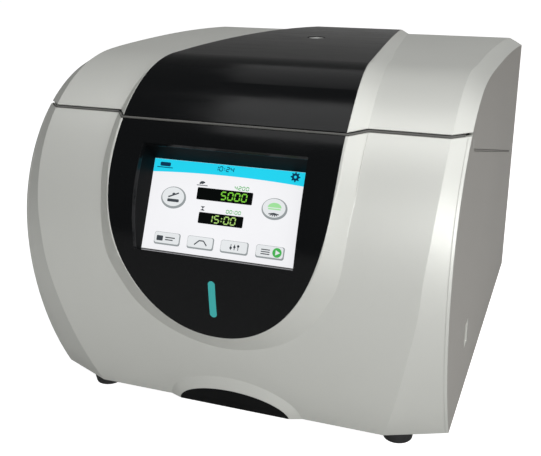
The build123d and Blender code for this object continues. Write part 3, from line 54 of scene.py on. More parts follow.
ahead = Vector((-math.sin(YAW), math.cos(YAW), 0.0))
right = Vector((math.cos(YAW), math.sin(YAW), 0.0))
up = Vector((0.0, 0.0, 1.0))
look = ahead * math.cos(PITCH) - up * math.sin(PITCH)
over = ahead * math.sin(PITCH) + up * math.cos(PITCH)
axis_x = right * math.cos(ROLL) + over * math.sin(ROLL)
axis_y = over * math.cos(ROLL) - right * math.sin(ROLL)
stance = Matrix((axis_x, axis_y, -look)).transposed().to_4x4()
stance.translation = EYE

camera = bpy.data.objects.new("camera", bpy.data.cameras.new("camera"))
bpy.context.scene.collection.objects.link(camera)
camera.matrix_world = stance
camera.data.sensor_width = SENSOR_MM
camera.data.lens = LENS_MM
camera.data.clip_start = 0.01
bpy.context.scene.camera = camera
print("camera at", [round(v, 3) for v in camera.location])

# %% [markdown]
# ## Shader graphs as sums
# A finish is a small calculation: some noise, a threshold, a mix of two colours. Linking nodes by hand
# hides that calculation in twenty lines, so `Wire` holds one socket and lets Python's operators add the
# Math nodes. `rows * 0.35 + patch * 0.65` then reads as what it computes. Every other node comes from
# `Wire.node`, which sets the node's options first, since some options change which sockets it has.

# %% The Wire class
class Wire:
    """An output socket of a node tree. Arithmetic on it adds Math nodes."""

    def __init__(self, tree, socket=None):
        self.tree = tree
        self.socket = socket

    def node(self, kind, settings=None, inputs=None, out=0):
        """Add a node from its type, its settings, and values or wires for its sockets"""
        node = self.tree.nodes.new("ShaderNode" + kind)
        for name, value in (settings or {}).items():
            setattr(node, name, value)
        for key, value in (inputs or {}).items():
            if isinstance(value, Wire):
                self.tree.links.new(value.socket, node.inputs[key])
            else:
                node.inputs[key].default_value = value
        return Wire(self.tree, node.outputs[out])

    def maths(self, operation, *values):
        return self.node("Math", {"operation": operation}, dict(enumerate(values)))

    def __add__(self, other):
        return self.maths("ADD", self, other)

    def __mul__(self, other):
        return self.maths("MULTIPLY", self, other)

    __radd__ = __add__

    def size(self):
        """The value without its sign"""
        return self.maths("ABSOLUTE", self)

    def above(self, edge, softness):
        """0 below the edge, 1 above it, with a soft step between"""
        step = {"From Min": edge - softness, "From Max": edge + softness}
        return self.node("MapRange", {"interpolation_type": "SMOOTHSTEP"}, {"Value": self, **step})

    def blend(self, low, high):
        """Colour that runs from low to high as this wire goes from 0 to 1"""
        return self.node("Mix", {"data_type": "RGBA"}, {0: self, 6: low, 7: high}, out=2)

    def tint(self, colour, low, high):
        """One colour, from darker to lighter as this wire goes from 0 to 1"""
        return self.blend(shade(colour, low), shade(colour, high))


print("Wire ready")

# %% [markdown]
# Colours are easiest to judge in the numbers a picture editor shows, 0 to 255, but shaders want linear
# light. One small function turns the first into the second.

# %% Colours
def rgb(red, green, blue):
    """Linear colour from the 0 to 255 values of a picture"""
    linear = []
    for value in (red, green, blue):
        share = value / 255
        linear.append(share / 12.92 if share <= 0.04045 else ((share + 0.055) / 1.055) ** 2.4)
    return (*linear, 1.0)


def shade(colour, factor):
    """The same colour, lighter or darker"""
    return (*[min(1.0, c * factor) for c in colour[:3]], 1.0)


CASING_GREY = rgb(206, 207, 202)
# painted shade: the darker grey stands in for the lower light on the case's sides
SIDE_SHADE_GREY = rgb(162, 159, 154)
print("casing grey is", [round(c, 3) for c in CASING_GREY])

# %% [markdown]
# ## A base for every finish
# Each finish starts from a Principled shader. Real moulded or pressed parts never have razor edges, and
# the highlight that runs along a rounded edge is what makes them look solid. A Bevel node bends the
# normals close to an edge, so the highlight appears while the mesh stays exact. A Bump node then adds
# the grain of the surface on top of those bent normals.

# %% Start and finish a material
def start(name, **values):
    """New material with its Principled shader, whose constant values are set on its own sockets"""
    material = bpy.data.materials.new(name)
    material.use_nodes = True
    shader = material.node_tree.nodes["Principled BSDF"]
    for key, value in values.items():
        shader.inputs[key.replace("_", " ")].default_value = value
    return material, Wire(material.node_tree), shader


def link(shader, name, wire):
    wire.tree.links.new(wire.socket, shader.inputs[name])


def place(wire, stretch=(1.0, 1.0, 1.0)):
    """The object's own coordinates in metres, stretched along each axis"""
    spot = wire.node("TexCoord", out=3)
    return wire.node("VectorMath", {"operation": "MULTIPLY"}, {0: spot, 1: stretch})


def noise(wire, scale, detail=3.0, stretch=(1.0, 1.0, 1.0)):
    spot = place(wire, stretch)
    return wire.node("TexNoise", None, {"Vector": spot, "Scale": scale, "Detail": detail})


def relief(wire, shader, height, depth, edge=0.0008):
    """Bump of a given depth in metres over softly rounded edges"""
    rounded = wire.node("Bevel", {"samples": 4}, {"Radius": edge})
    bump = {"Height": height, "Strength": 1.0, "Distance": depth, "Normal": rounded}
    link(shader, "Normal", wire.node("Bump", None, bump))


print("helpers ready")

# %% [markdown]
# ## Casing
# The case is moulded in a pale grey and sprayed with a satin paint. Close up such paint has a fine orange
# peel of about a millimetre, and over the whole case the tone drifts by a few percent. Both are noise
# textures: the fine one feeds bump and roughness, and the two together the colour. The sides get a darker
# grey, which is painted shade for the lower light that falls on them. The object's own normal tells them
# apart, since only there it lies along X.

# %% Casing finish
def painted(
    name, colour, roughness=0.42, grain=1500.0, depth=0.00002, edge=0.0012, metal=0.0, ior=1.46, side_shade=None
):
    """Satin paint with fine orange peel and a faint drift of tone, and a darker grey on the sides as
    painted shade
    """
    material, wire, shader = start(name, IOR=ior, Metallic=metal)
    drift = noise(wire, 5.0, 2.0)
    speck = noise(wire, grain, 2.0)
    tone = (drift * 0.7 + speck * 0.3).above(0.5, 0.35)
    coat = tone.tint(colour, 0.965, 1.03)
    # normals along X get the darker grey, which is painted shade on the sides
    if side_shade:
        sideways = wire.node("SeparateXYZ", None, {0: wire.node("TexCoord", out=1)}).size()
        coat = sideways.above(0.9, 0.03).blend(coat, tone.tint(side_shade, 0.965, 1.03))
    link(shader, "Base Color", coat)
    link(shader, "Roughness", roughness - 0.05 + speck * 0.1)
    relief(wire, shader, speck, depth, edge)
    return material


# the sides get a darker grey: painted shade
casing = painted("casing grey", CASING_GREY, 0.47, metal=0.45, side_shade=SIDE_SHADE_GREY)
print(casing.name)

# %% [markdown]
# ## Black gloss
# The touch panel and the band that continues it over the lid are a black acrylic sheet. Under a clear
# glossy face the colour is nearly nothing, so what is seen is reflection. A perfectly even mirror looks
# false: real sheets carry faint wipe marks, which are a stretched noise in the roughness.

# %% Gloss and satin blacks
def gloss(name, colour, roughness=0.12, wipe=(3.0, 18.0, 3.0), edge=0.0006):
    """Polished plastic with faint wipe marks"""
    material, wire, shader = start(name, IOR=1.25)
    marks = noise(wire, 6.0, 4.0, wipe)
    dust = noise(wire, 900.0, 1.0).above(0.74, 0.05)
    link(shader, "Base Color", dust.tint(colour, 1.0, 1.6))
    link(shader, "Roughness", roughness + marks.above(0.55, 0.2) * 0.06 + dust * 0.1)
    relief(wire, shader, marks, 0.000004, edge)
    return material


panel_black = gloss("panel black", rgb(13, 14, 15))
bezel_black = painted("bezel black", rgb(5, 6, 7), 0.5, 2200.0, 0.00001, 0.0006, ior=1.18)
port_silver = painted("port silver", rgb(166, 166, 163), 0.4, 2200.0, 0.00001, 0.0005, metal=0.3)
print(panel_black.name, bezel_black.name, port_silver.name)

# %% [markdown]
# ## Metals
# Three kinds of bare metal show once the lid is open: the spun stainless bowl, the machined aluminium
# rotor and buckets, and bright steel pins and screws. Spinning and turning leave rings round the axis,
# so their grain is a noise that only changes with the distance from that axis and with height.

# %% Turned and brushed metal
AXIS_Y = 0.053


def turned(name, colour, roughness, rings, depth, edge=0.0005):
    """Bare metal with fine rings round the rotor's upright axis"""
    material, wire, shader = start(name, Metallic=1.0)
    spot = wire.node("TexCoord", out=3)
    offset = wire.node("VectorMath", {"operation": "SUBTRACT"}, {0: spot, 1: (0.0, AXIS_Y, 0.0)})
    flat = wire.node("VectorMath", {"operation": "MULTIPLY"}, {0: offset, 1: (1.0, 1.0, 0.0)})
    reach = wire.node("VectorMath", {"operation": "LENGTH"}, {0: flat}, out=1)
    height = wire.node("SeparateXYZ", None, {0: spot}, out=2)
    line = wire.node("CombineXYZ", None, {0: reach, 1: height})
    ring = wire.node("TexNoise", None, {"Vector": line, "Scale": rings, "Detail": 3.0})
    cloud = noise(wire, 30.0, 3.0)
    link(shader, "Base Color", cloud.tint(colour, 0.93, 1.05))
    link(shader, "Roughness", roughness - 0.06 + ring * 0.1 + cloud * 0.05)
    relief(wire, shader, ring, depth, edge)
    return material


stainless = turned("spun stainless", rgb(196, 197, 198), 0.26, 1400.0, 0.000006)
aluminium = turned("machined aluminium", rgb(176, 179, 184), 0.34, 2600.0, 0.000005)
bright_steel = turned("bright steel", rgb(206, 206, 204), 0.22, 3000.0, 0.000002, 0.0003)
print(stainless.name, aluminium.name, bright_steel.name)

# %% [markdown]
# ## Rubber, plain plastics, board and lens
# The inner parts are rougher: a rubber gasket with a chalky bloom, black glass-filled plastic, a white
# polypropylene adapter, a green board. Each is the same idea as the casing with its own scale of grain.

# %% Inner finishes
deck_grey = painted("deck grey", rgb(150, 152, 152), 0.5, 1100.0, 0.00003, 0.0008)
sheet_grey = painted("powder coated sheet", rgb(118, 120, 122), 0.55, 800.0, 0.00005, 0.0006)
rubber = painted("rubber", rgb(34, 34, 35), 0.72, 1900.0, 0.00004, 0.0008)
dark_plastic = painted("dark plastic", rgb(38, 39, 41), 0.5, 1600.0, 0.00003, 0.0005)
adapter_white = painted("adapter white", rgb(222, 222, 216), 0.38, 1200.0, 0.00001, 0.0008)
board_green = painted("circuit board", rgb(28, 84, 52), 0.3, 700.0, 0.00003, 0.0003)
lamination = painted("laminations", rgb(92, 88, 84), 0.45, 2000.0, 0.00004, 0.0003)
print("inner finishes made")

# %% Frosted lens over the viewing port
def frosted(name, colour):
    """Pale plastic that lets a little light through, with faint ripples"""
    material, wire, shader = start(name, IOR=1.49, Roughness=0.3, Alpha=0.94)
    ripple = noise(wire, 160.0, 2.0)
    link(shader, "Base Color", ripple.tint(colour, 1.0, 1.08))
    relief(wire, shader, ripple, 0.00001, 0.0004)
    return material


lens_pale = frosted("port lens", rgb(205, 208, 206))
print(lens_pale.name)

# %% [markdown]
# ## Things that shine
# The display and the status bar make their own light. Their colour goes into Emission Color, with the
# strength set so that white on the display is just white in the render. The status bar is a frosted
# strip, so it glows less and its face is rougher.

# %% Lit surfaces
def lit(name, colour, glow=0.9, base=0.12, rough=0.16):
    """Self-lit area behind clear glass, with the display's faint pixel rows"""
    material, wire, shader = start(name, IOR=1.22, Emission_Strength=glow)
    rows = wire.node("TexWave", {"bands_direction": "Z"}, {"Vector": place(wire), "Scale": 900.0})
    patch = noise(wire, 22.0, 2.0)
    tone = rows * 0.35 + patch * 0.65
    link(shader, "Emission Color", tone.tint(colour, 0.94, 1.03))
    link(shader, "Base Color", tone.tint(colour, base, base * 1.1))
    link(shader, "Roughness", rough + patch * 0.04)
    relief(wire, shader, patch, 0.000002, 0.0001)
    return material


status_teal = lit("status teal", rgb(66, 172, 170), 0.4, 0.5, 0.3)
display_white = lit("display white", rgb(247, 247, 250), 0.86)
print(status_teal.name, display_white.name)

# %% [markdown]
# ## Dressing the frame
# Every node of the frame gets its finish through its material slot. The mesh itself is never touched.

# %% Which node wears which finish
finishes = {
    casing: "front_cover side_panel_left side_panel_right lid_shell switch_housing power_rocker",
    sheet_grey: "rear_panel base_pan motor_plate armour_ring power_supply",
    deck_grey: "top_deck lid_liner",
    panel_black: "touch_panel lid_band",
    bezel_black: "screen_bezel arch_cover",
    port_silver: "port_bezel",
    display_white: "display_screen",
    status_teal: "status_light_bar",
    stainless: "chamber_bowl",
    aluminium: "rotor_yoke rotor_nut motor_housing bucket_1 bucket_2 bucket_3 bucket_4",
    bright_steel: "drive_shaft trunnion_pins hinge_pins hinge_brackets hinge_leaves torsion_springs "
                  "rear_screws foot_screws lid_screws motor_bearings fan_guard striker latch_hook",
    rubber: "rubber_feet chamber_gasket motor_dampers shaft_seal",
    dark_plastic: "fan_frame fan_impeller power_inlet latch_housing latch_motor",
    adapter_white: "tube_adapter_1 tube_adapter_2 tube_adapter_3 tube_adapter_4",
    board_green: "control_board",
    lamination: "motor_stator motor_core",
    lens_pale: "port_lens",
}
for finish, names in finishes.items():
    for name in names.split():
        nodes[name].data.materials.clear()
        nodes[name].data.materials.append(finish)
dressed = {name for names in finishes.values() for name in names.split()}
print("still bare:", sorted(set(nodes) - dressed))

# %% [markdown]
# ## Thin plates
# What the display shows is built as real plates, about a tenth of a millimetre thick and stacked in
# layers, so it keeps sharp edges however close the camera comes. Each plate starts as an outline in
# millimetres, to the right and up from the middle of a `Face`, which carries it into space. Many
# outlines share one object.

# %% Outlines and plates
def settle(shape, name, material, body, smooth):
    """Turn a bmesh into one object that rides on a body"""
    bmesh.ops.recalc_face_normals(shape, faces=shape.faces)
    mesh = bpy.data.meshes.new(name)
    shape.to_mesh(mesh)
    shape.free()
    mesh.polygons.foreach_set("use_smooth", [smooth] * len(mesh.polygons))
    mesh.materials.append(material)
    piece = bpy.data.objects.new(name, mesh)
    bpy.context.scene.collection.objects.link(piece)
    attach(piece, body)


class Face:
    """A flat place to draw on: its middle, its direction to the right and its direction up"""

    def __init__(self, middle, right, up):
        self.middle = Vector(middle)
        self.right = Vector(right).normalized()
        self.up = Vector(up).normalized()
        self.out = self.right.cross(self.up)

    def at(self, u, v, lift):
        return self.middle + (self.right * u + self.up * v + self.out * lift) / 1000

    def plates(self, name, outlines, lift, material, body, depth=0.12):
        """One object with a plate for each outline, its front `lift` millimetres out"""
        shape = bmesh.new()
        for outline in outlines:
            front = [shape.verts.new(self.at(u, v, lift)) for u, v in outline]
            back = [shape.verts.new(self.at(u, v, lift - depth)) for u, v in outline]
            shape.faces.new(front)
            for i in range(len(front)):
                j = (i + 1) % len(front)
                shape.faces.new((front[i], back[i], back[j], front[j]))
        settle(shape, name, material, body, False)


def oval(u, v, half_u, half_v, first=0.0, last=360.0, count=40):
    """Ellipse or a slice of one, counter-clockwise"""
    span = last - first
    corners = count if span == 360 else count + 1
    turns = [math.radians(first + span * i / count) for i in range(corners)]
    return [(u + half_u * math.cos(t), v + half_v * math.sin(t)) for t in turns]


def rounded(left, right, low, high, radius, count=6):
    """Rectangle with round corners"""
    points = []
    for u, v, first in (
        (right - radius, high - radius, 0),
        (left + radius, high - radius, 90),
        (left + radius, low + radius, 180),
        (right - radius, low + radius, 270),
    ):
        points += oval(u, v, radius, radius, first, first + 90, count)
    return points


def bar(u0, v0, u1, v1, width):
    """Straight stroke between two points"""
    along = Vector((u1 - u0, v1 - v0)).normalized() * width / 2
    side_u, side_v = -along.y, along.x
    return [
        (u0 + side_u, v0 + side_v),
        (u0 - side_u, v0 - side_v),
        (u1 - side_u, v1 - side_v),
        (u1 + side_u, v1 + side_v),
    ]


print(len(rounded(0, 10, 0, 5, 1)), "corners on a rounded key")

# %% [markdown]
# Figures are drawn with seven strokes, as a segment display does it. A table says which strokes a figure
# lights, and a slight slant makes them look like the real thing.

# %% Segment figures
STROKES = {
    "a": (0.1, 1.0, 0.9, 1.0),
    "b": (1.0, 0.93, 1.0, 0.57),
    "c": (1.0, 0.43, 1.0, 0.07),
    "d": (0.1, 0.0, 0.9, 0.0),
    "e": (0.0, 0.43, 0.0, 0.07),
    "f": (0.0, 0.93, 0.0, 0.57),
    "g": (0.1, 0.5, 0.9, 0.5),
}
FIGURES = {"0": "abcdef", "1": "bc", "2": "abged", "3": "abgcd", "4": "fgbc", "5": "afgcd"}
DOT_HEIGHTS = (0.3, 0.7)


def figures(text, left, low, width, height, gap, weight, slant=0.08):
    """Outlines of a row of figures from its lower left corner"""
    half = weight / 2
    outlines = []
    for sign in text:
        if sign == ":":
            for share in DOT_HEIGHTS:
                u = left + half + slant * height * share
                v = low + height * share
                outlines.append(rounded(u - half, u + half, v - half, v + half, weight * 0.2, 2))
            left += weight + gap
            continue
        for stroke in FIGURES[sign]:
            u0, v0, u1, v1 = STROKES[stroke]
            start_u = left + u0 * width + slant * height * v0
            end_u = left + u1 * width + slant * height * v1
            outlines.append(bar(start_u, low + height * v0, end_u, low + height * v1, weight))
        left += width + gap
    return outlines


print(len(figures("5000", 0, 0, 4, 7, 2, 1)), "strokes in a reading")

# %% [markdown]
# ## The display
# Its picture has a cyan bar along the top whose lower edge is a shallow arch, two black readouts, a round
# key at each side and four keys along the foot. The colours are those of a lit screen, so each comes from
# the `lit` finish. Each layer of plates has a name for how far it stands out, in millimetres.

# %% Display colours
ink_blue = lit("display ink", rgb(14, 62, 96), 0.7)
header_cyan = lit("display header", rgb(36, 210, 238), 0.92)
readout_black = lit("display readout", rgb(10, 14, 13), 0.5)
figure_green = lit("display figures", rgb(128, 212, 66), 0.85)
figure_pale = lit("display pale figures", rgb(178, 220, 122), 0.8)
key_edge = lit("display key edge", rgb(156, 162, 164), 0.8)
key_face = lit("display key", rgb(230, 233, 235), 0.88)
mark_grey = lit("display marks", rgb(72, 78, 84), 0.7)
mark_green = lit("display go mark", rgb(72, 176, 84), 0.9)
soft_green = lit("display soft green", rgb(160, 224, 156), 0.9)
print("display colours mixed")

# %% Display picture
SCREEN_MIDDLE, SCREEN_UP = (0.0, -0.2278, 0.2332), (0, 0.4415, 0.8973)
FIELD_HALF, FIELD_TALL = 76.95, 43.35
ARCH_SIDE, ARCH_TOP, ARCH_RISE, ARCH_STEPS = 30.5, 33.2, 2.7, 20
FIELD, KEY, INK, MARK, HUB, ARROW = 0.14, 0.26, 0.28, 0.38, 0.4, 0.5
screen = Face(SCREEN_MIDDLE, (1, 0, 0), SCREEN_UP)

header = [(-FIELD_HALF, FIELD_TALL), (-FIELD_HALF, ARCH_SIDE)]
for step in range(1 - ARCH_STEPS, ARCH_STEPS):
    header.append((step * FIELD_HALF / ARCH_STEPS, ARCH_TOP - ARCH_RISE * (step / ARCH_STEPS) ** 2))
header += [(FIELD_HALF, ARCH_SIDE), (FIELD_HALF, FIELD_TALL)]
screen.plates("display_header", [header], FIELD, header_cyan, "base")

clock = figures("10:24", -13.5, 37.2, 3.0, 4.0, 1.5, 0.8)
tray = [rounded(-70.5, -59.5, 36.6, 40.4, 1.2), bar(-73.5, 35.4, -57.0, 35.4, 0.8)]
GEAR_U, GEAR_V, TOOTH_ROOT, TOOTH_TIP, TEETH = 66.0, 38.5, 2.6, 4.6, 8
gear = [oval(GEAR_U, GEAR_V, 3.4, 3.4)]
for tooth in range(TEETH):
    turn = math.radians(360 / TEETH * tooth)
    along_u, along_v = math.cos(turn), math.sin(turn)
    root = (GEAR_U + TOOTH_ROOT * along_u, GEAR_V + TOOTH_ROOT * along_v)
    tip = (GEAR_U + TOOTH_TIP * along_u, GEAR_V + TOOTH_TIP * along_v)
    gear.append(bar(*root, *tip, 1.3))
screen.plates("display_header_marks", clock + tray + gear, INK, ink_blue, "base")
screen.plates("display_gear_eye", [oval(GEAR_U, GEAR_V, 1.3, 1.3)], HUB, header_cyan, "base")

readouts = [rounded(-28.0, 28.0, 8.5, 20.0, 1.0), rounded(-23.0, 22.0, -13.5, -3.0, 1.0)]
screen.plates("display_readouts", readouts, FIELD, readout_black, "base")
speed = figures("5000", -3.5, 10.9, 4.6, 6.9, 2.3, 1.15)
screen.plates("display_speed", speed, INK, figure_green, "base")
run_time = figures("15:00", -13.5, -11.6, 4.4, 6.6, 2.2, 1.1)
screen.plates("display_time", run_time, INK, figure_pale, "base")
small = figures("4200", 9.0, 21.3, 2.4, 3.2, 1.4, 0.7) + figures("00:00", 4.0, -1.4, 2.2, 2.9, 1.2, 0.65)
screen.plates("display_small_figures", small, FIELD, mark_green, "base")

dial = [
    oval(-24.0, 23.6, 3.0, 2.4, 20, 200, 16),
    bar(-24.0, 23.2, -21.6, 25.4, 0.6),
    bar(-29.5, 22.0, -18.5, 22.0, 0.7),
]
hourglass = [
    bar(-22.0, 2.2, -18.0, 2.2, 0.6),
    bar(-22.0, -1.2, -18.0, -1.2, 0.6),
    [(-21.6, 2.0), (-20.0, 0.5), (-18.4, 2.0)],
    [(-20.0, 0.5), (-21.6, -1.0), (-18.4, -1.0)],
]
screen.plates("display_labels", dial + hourglass, FIELD, mark_grey, "base")
print("readouts drawn")

# %% Round keys
rings = [oval(-51.5, 7.5, 13.0, 10.5), oval(50.5, 7.5, 12.5, 10.0)]
screen.plates("display_round_edges", rings, FIELD, key_edge, "base")
discs = [oval(-52.0, 8.3, 11.4, 9.0), oval(50.0, 8.3, 11.0, 8.6)]
screen.plates("display_round_faces", discs, KEY, key_face, "base")
lid_mark = [
    rounded(-57.5, -45.5, 3.4, 6.2, 0.8),
    bar(-57.0, 7.8, -46.5, 12.2, 1.3),
    oval(-51.5, 10.9, 1.6, 1.2),
]
FAN_U, FAN_V, FAN_WIDE, FAN_DEEP = 50.5, 3.6, 5.4, 3.0
fan = []
for ray in range(6):
    turn = math.radians(20 + 28 * ray)
    tip = (FAN_U + FAN_WIDE * math.cos(turn), FAN_V - FAN_DEEP * math.sin(turn))
    fan.append(bar(FAN_U, FAN_V, *tip, 0.9))
screen.plates("display_round_marks", lid_mark + fan, MARK, mark_grey, "base")
leaf = [oval(50.5, 8.8, 6.6, 4.4, 0, 180, 24), bar(44.5, 7.4, 56.5, 7.4, 1.2)]
screen.plates("display_leaf", leaf, MARK, soft_green, "base")
print(len(discs), "round keys")

# %% Foot keys
spans = [(-65.0, -38.0), (-30.5, -3.5), (3.5, 31.0), (38.5, 66.0)]
edges = [rounded(left, right, -38.0, -26.0, 2.2) for left, right in spans]
screen.plates("display_key_edges", edges, FIELD, key_edge, "base")
tops = [rounded(left + 0.3, right - 1.2, -36.5, -26.3, 2.0) for left, right in spans]
screen.plates("display_key_faces", tops, KEY, key_face, "base")
book = [
    rounded(-62.5, -56.0, -34.4, -29.6, 0.6),
    bar(-53.5, -30.8, -43.5, -30.8, 1.0),
    bar(-53.5, -33.0, -45.5, -33.0, 1.0),
]
curve = [
    bar(-23.0, -34.0, -18.5, -29.8, 1.1),
    bar(-18.5, -29.8, -14.0, -29.8, 1.1),
    bar(-14.0, -29.8, -10.5, -34.0, 1.1),
]
SLIDER_U, SLIDER_STEP = 17.4, 3.6
sliders = []
for k in range(3):
    u = SLIDER_U + SLIDER_STEP * (k - 1)
    sliders += [bar(u, -34.4, u, -29.2, 0.7), oval(u, -32.6 + 1.1 * k, 1.2, 1.2, count=14)]
lines = [bar(43.5, v, 52.0, v, 0.9) for v in (-30.0, -32.0, -34.0)]
screen.plates("display_key_marks", book + curve + sliders + lines, MARK, mark_grey, "base")
screen.plates("display_go_disc", [oval(59.0, -31.6, 4.4, 4.4)], MARK, mark_green, "base")
screen.plates("display_go_arrow", [[(57.6, -34.0), (62.0, -31.6), (57.6, -29.2)]], ARROW, key_face, "base")
print(len(spans), "foot keys")

# %% [markdown]
# ## Small fittings
# Some details are too fine for the frame: the on and off marks of the mains switch, and the numbers of
# the four rotor places. A ray cast onto the part finds how high its surface is, so each mark sits on it.

# %% Find a surface
def on_part(node, start_at, toward, right):
    """Face that lies on a part where a ray from a point in metres meets it"""
    hit, spot, normal, _ = nodes[node].ray_cast(Vector(start_at), Vector(toward))
    if not hit:
        raise RuntimeError(f"nothing to stand on at {start_at}")
    side = Vector(right)
    side -= normal * side.dot(normal)
    return Face(spot, side, normal.cross(side))


print("ready to stand marks on parts")

# %% Switch marks
mark_white = painted("mark white", rgb(228, 228, 222), 0.5, 2600.0, 0.000005, 0.0001)
SWITCH_X, SWITCH_Y, ON_Z, OFF_Z = 0.24, -0.108, 0.0905, 0.0775
MARK_HALF, RING_INNER, RING_STEPS = 2.2, 1.4, 28
SWITCH_LIFT, SWITCH_DEPTH = 0.06, 0.1
upper = on_part("power_rocker", (SWITCH_X, SWITCH_Y, ON_Z), (-1, 0, 0), (0, 1, 0))
lower = on_part("power_rocker", (SWITCH_X, SWITCH_Y, OFF_Z), (-1, 0, 0), (0, 1, 0))
stroke = [rounded(-0.5, 0.5, -MARK_HALF, MARK_HALF, 0.3)]
upper.plates("switch_on_mark", stroke, SWITCH_LIFT, mark_white, "rocker", SWITCH_DEPTH)
outer = oval(0, 0, MARK_HALF, MARK_HALF, count=RING_STEPS)
inner = oval(0, 0, RING_INNER, RING_INNER, count=RING_STEPS)
ring = []
for i in range(RING_STEPS):
    j = (i + 1) % RING_STEPS
    ring.append([outer[i], outer[j], inner[j], inner[i]])
lower.plates("switch_off_mark", ring, SWITCH_LIFT, mark_white, "rocker", SWITCH_DEPTH)
print("switch marked")

# %% Rotor numbers
engraved = painted("engraved black", rgb(24, 24, 26), 0.6, 2400.0, 0.00001, 0.0001)
NUMBER_REACH, ABOVE_ROTOR = 0.036, 0.3
NUMBER_LIFT, NUMBER_DEPTH = 0.03, 0.06
down = Vector((0, 0, -1))
for k in range(4):
    turn = math.radians(90 * k)
    out_way = Vector((math.cos(turn), math.sin(turn), 0.0))
    spot = Vector((0.0, AXIS_Y, ABOVE_ROTOR)) + out_way * NUMBER_REACH
    arm = on_part("rotor_yoke", spot, down, out_way.cross(down))
    number = figures(str(k + 1), -1.9, -3.2, 3.8, 6.4, 1.0, 1.0, 0.0)
    arm.plates(f"rotor_number_{k + 1}", number, NUMBER_LIFT, engraved, "rotor", NUMBER_DEPTH)
print("rotor numbered")

# %% [markdown]
# The gap between lid and base runs across the front and along both sides. A half-round strip lies in
# it, so the gap reads as a fine grey line instead of a hole. Its grey is painted light: painted shade of
# the gap on the grey case, and a painted highlight of the lid's lower edge over the black panel. The strip
# follows the gap and is paler along the sides, where the painted shade is softer. Across the front the way
# is bent, so rays cast onto the cover just below the gap find it.

# %% Half-round strip
def strip(name, path, radius, out, material, body, count=8):
    """Half-round strip along a path in millimetres, its round face turned towards the direction `out`"""
    shape = bmesh.new()
    turns = [math.radians(-90 + 180 * i / count) for i in range(count + 1)]
    rows = []
    for spot in path:
        row = []
        for turn in turns:
            rise = Vector((0, 0, radius * math.sin(turn)))
            point = Vector(spot) + Vector(out) * radius * math.cos(turn) + rise
            row.append(shape.verts.new(point / 1000))
        rows.append(row)
    for first, second in zip(rows, rows[1:]):
        for i in range(count):
            shape.faces.new((first[i], first[i + 1], second[i + 1], second[i]))
        shape.faces.new((first[0], second[0], second[count], first[count]))
    shape.faces.new(rows[0])
    shape.faces.new(rows[-1])
    settle(shape, name, material, body, True)


print("strip ready")

# %% Seam lips
# painted light: the front strip's grey is painted shade of the gap on the grey case and a painted highlight
# of the lid's lower edge over the black panel
lip_shade_and_highlight = painted("lip shade and highlight", rgb(88, 88, 85), 0.6, 1900.0, 0.00002, 0.0003)
# the paler copy along the sides is softer painted shade
lip_side_shade = painted("lip side shade", rgb(122, 120, 116), 0.6, 1900.0, 0.00002, 0.0003)
LIP_RADIUS = 1.1
SIDE_X, SIDE_STEPS = 213.7, 24
GAP_START, GAP_END = -152.0, 222.0
FALL_START, FALL_TOP, GAP_FALL = -154.0, 291.0, 0.271
spots = [GAP_START + (GAP_END - GAP_START) * i / SIDE_STEPS for i in range(SIDE_STEPS + 1)]
for side, name in ((1, "seam_lip_right"), (-1, "seam_lip_left")):
    path = [(side * SIDE_X, y, FALL_TOP - GAP_FALL * (y - FALL_START)) for y in spots]
    strip(name, path, LIP_RADIUS, (side, 0, 0), lip_side_shade, "base")

FRONT_HALF, FRONT_STEP, FAR_Y = 210, 2, -600.0
LIP_Z, COVER_Z, LIP_INSET = 309.35, 307.9, 1.7
path = []
for x in range(-FRONT_HALF, FRONT_HALF + 1, FRONT_STEP):
    start_at = Vector((x, FAR_Y, COVER_Z)) / 1000
    hits = [nodes[part].ray_cast(start_at, Vector((0, 1, 0))) for part in ("touch_panel", "front_cover")]
    nearest = min(1000 * spot.y for hit, spot, _, _ in hits if hit)
    path.append((x, nearest + LIP_INSET, LIP_Z))
strip("seam_lip_front", path, LIP_RADIUS, (0, -1, 0), lip_shade_and_highlight, "base")
print("lips laid")

# %% [markdown]
# ## Floor and light
# The object stands on a pale floor that runs up into a pale backdrop. The camera sees the floor a shade
# brighter than the lamps make it, so it reads as white, while the contact shadow stays. The main light is
# a wide soft box in front and to the right. A second one beside the case makes the right facets shine
# and a third hangs above. Two weak ones fill from higher up and from behind, and the room itself adds a
# faint even light.

# %% Floor
BLACK, WHITE = (0, 0, 0, 1), (1, 1, 1, 1)
FLOOR_GLOW, FLOOR_HALF = 0.9, 6.0


def floor_material():
    """Matt off-white that the camera sees a shade brighter"""
    material, wire, shader = start("floor", Roughness=0.9)
    patch = noise(wire, 3.0, 2.0)
    link(shader, "Base Color", patch.blend(rgb(186, 186, 185), rgb(190, 190, 189)))
    seen = wire.node("LightPath", out=0)
    link(shader, "Emission Color", seen.blend(BLACK, WHITE))
    shader.inputs["Emission Strength"].default_value = FLOOR_GLOW
    return material


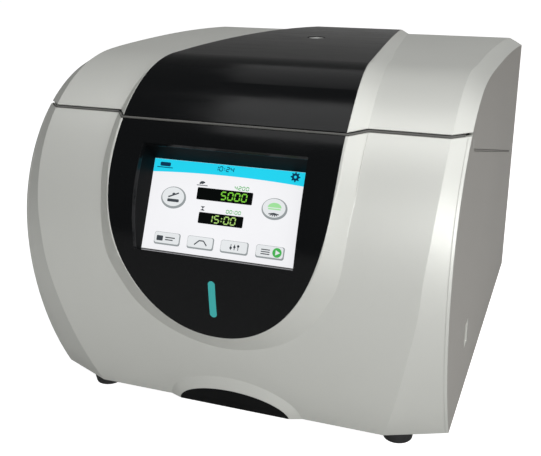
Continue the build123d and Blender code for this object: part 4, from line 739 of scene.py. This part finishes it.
mesh = bpy.data.meshes.new("floor")
sweep = [(-6.0, 0.0), (2.5, 0.0), (3.6, 0.35), (4.2, 1.2), (4.4, 5.0)]
corners = [(side * FLOOR_HALF, y, z) for y, z in sweep for side in (-1, 1)]
faces = [(2 * i, 2 * i + 1, 2 * i + 3, 2 * i + 2) for i in range(len(sweep) - 1)]
mesh.from_pydata(corners, [], faces)
mesh.polygons.foreach_set("use_smooth", [True] * len(faces))
floor = bpy.data.objects.new("floor", mesh)
mesh.materials.append(floor_material())
bpy.context.scene.collection.objects.link(floor)
print("floor spans", tuple(round(v, 1) for v in floor.dimensions))

# %% Lamps and world
AIM, LAMP_AWAY = Vector((0.0, 0.0, 0.2)), 2.8
LAMP_WIDE, LAMP_TALL = 2.4, 1.5
AMBIENT = 0.08


def lamp(name, turn, height, power):
    """Wide soft box that faces the case from a bearing (0 in front, 90 right) and a height in degrees"""
    turn, height = math.radians(turn), math.radians(height)
    away = Vector((math.sin(turn) * math.cos(height), -math.cos(turn) * math.cos(height), math.sin(height)))
    data = bpy.data.lights.new(name, "AREA")
    data.shape = "RECTANGLE"
    data.size, data.size_y = LAMP_WIDE, LAMP_TALL
    data.energy = power
    item = bpy.data.objects.new(name, data)
    item.location = AIM + away * LAMP_AWAY
    item.rotation_euler = (-away).to_track_quat("-Z", "Y").to_euler()
    bpy.context.scene.collection.objects.link(item)
    return item


lamps = [
    lamp("top", 0.0, 80.0, 27.5),
    lamp("front", 30.0, 20.0, 60.0),
    lamp("high", 30.0, 50.0, 5.0),
    lamp("edge", 100.0, 40.0, 22.5),
    lamp("back", 180.0, 55.0, 5.5),
]
world = bpy.data.worlds.new("studio")
bpy.context.scene.world = world
world.use_nodes = True
backdrop = world.node_tree.nodes["Background"]
wire = Wire(world.node_tree)
seen = wire.node("LightPath", out=0)
strength = seen * (1.0 - AMBIENT) + AMBIENT
world.node_tree.links.new(strength.socket, backdrop.inputs["Strength"])
backdrop.inputs["Color"].default_value = WHITE
bpy.context.scene.view_settings.view_transform = "Standard"
print(len(lamps), "lamps")
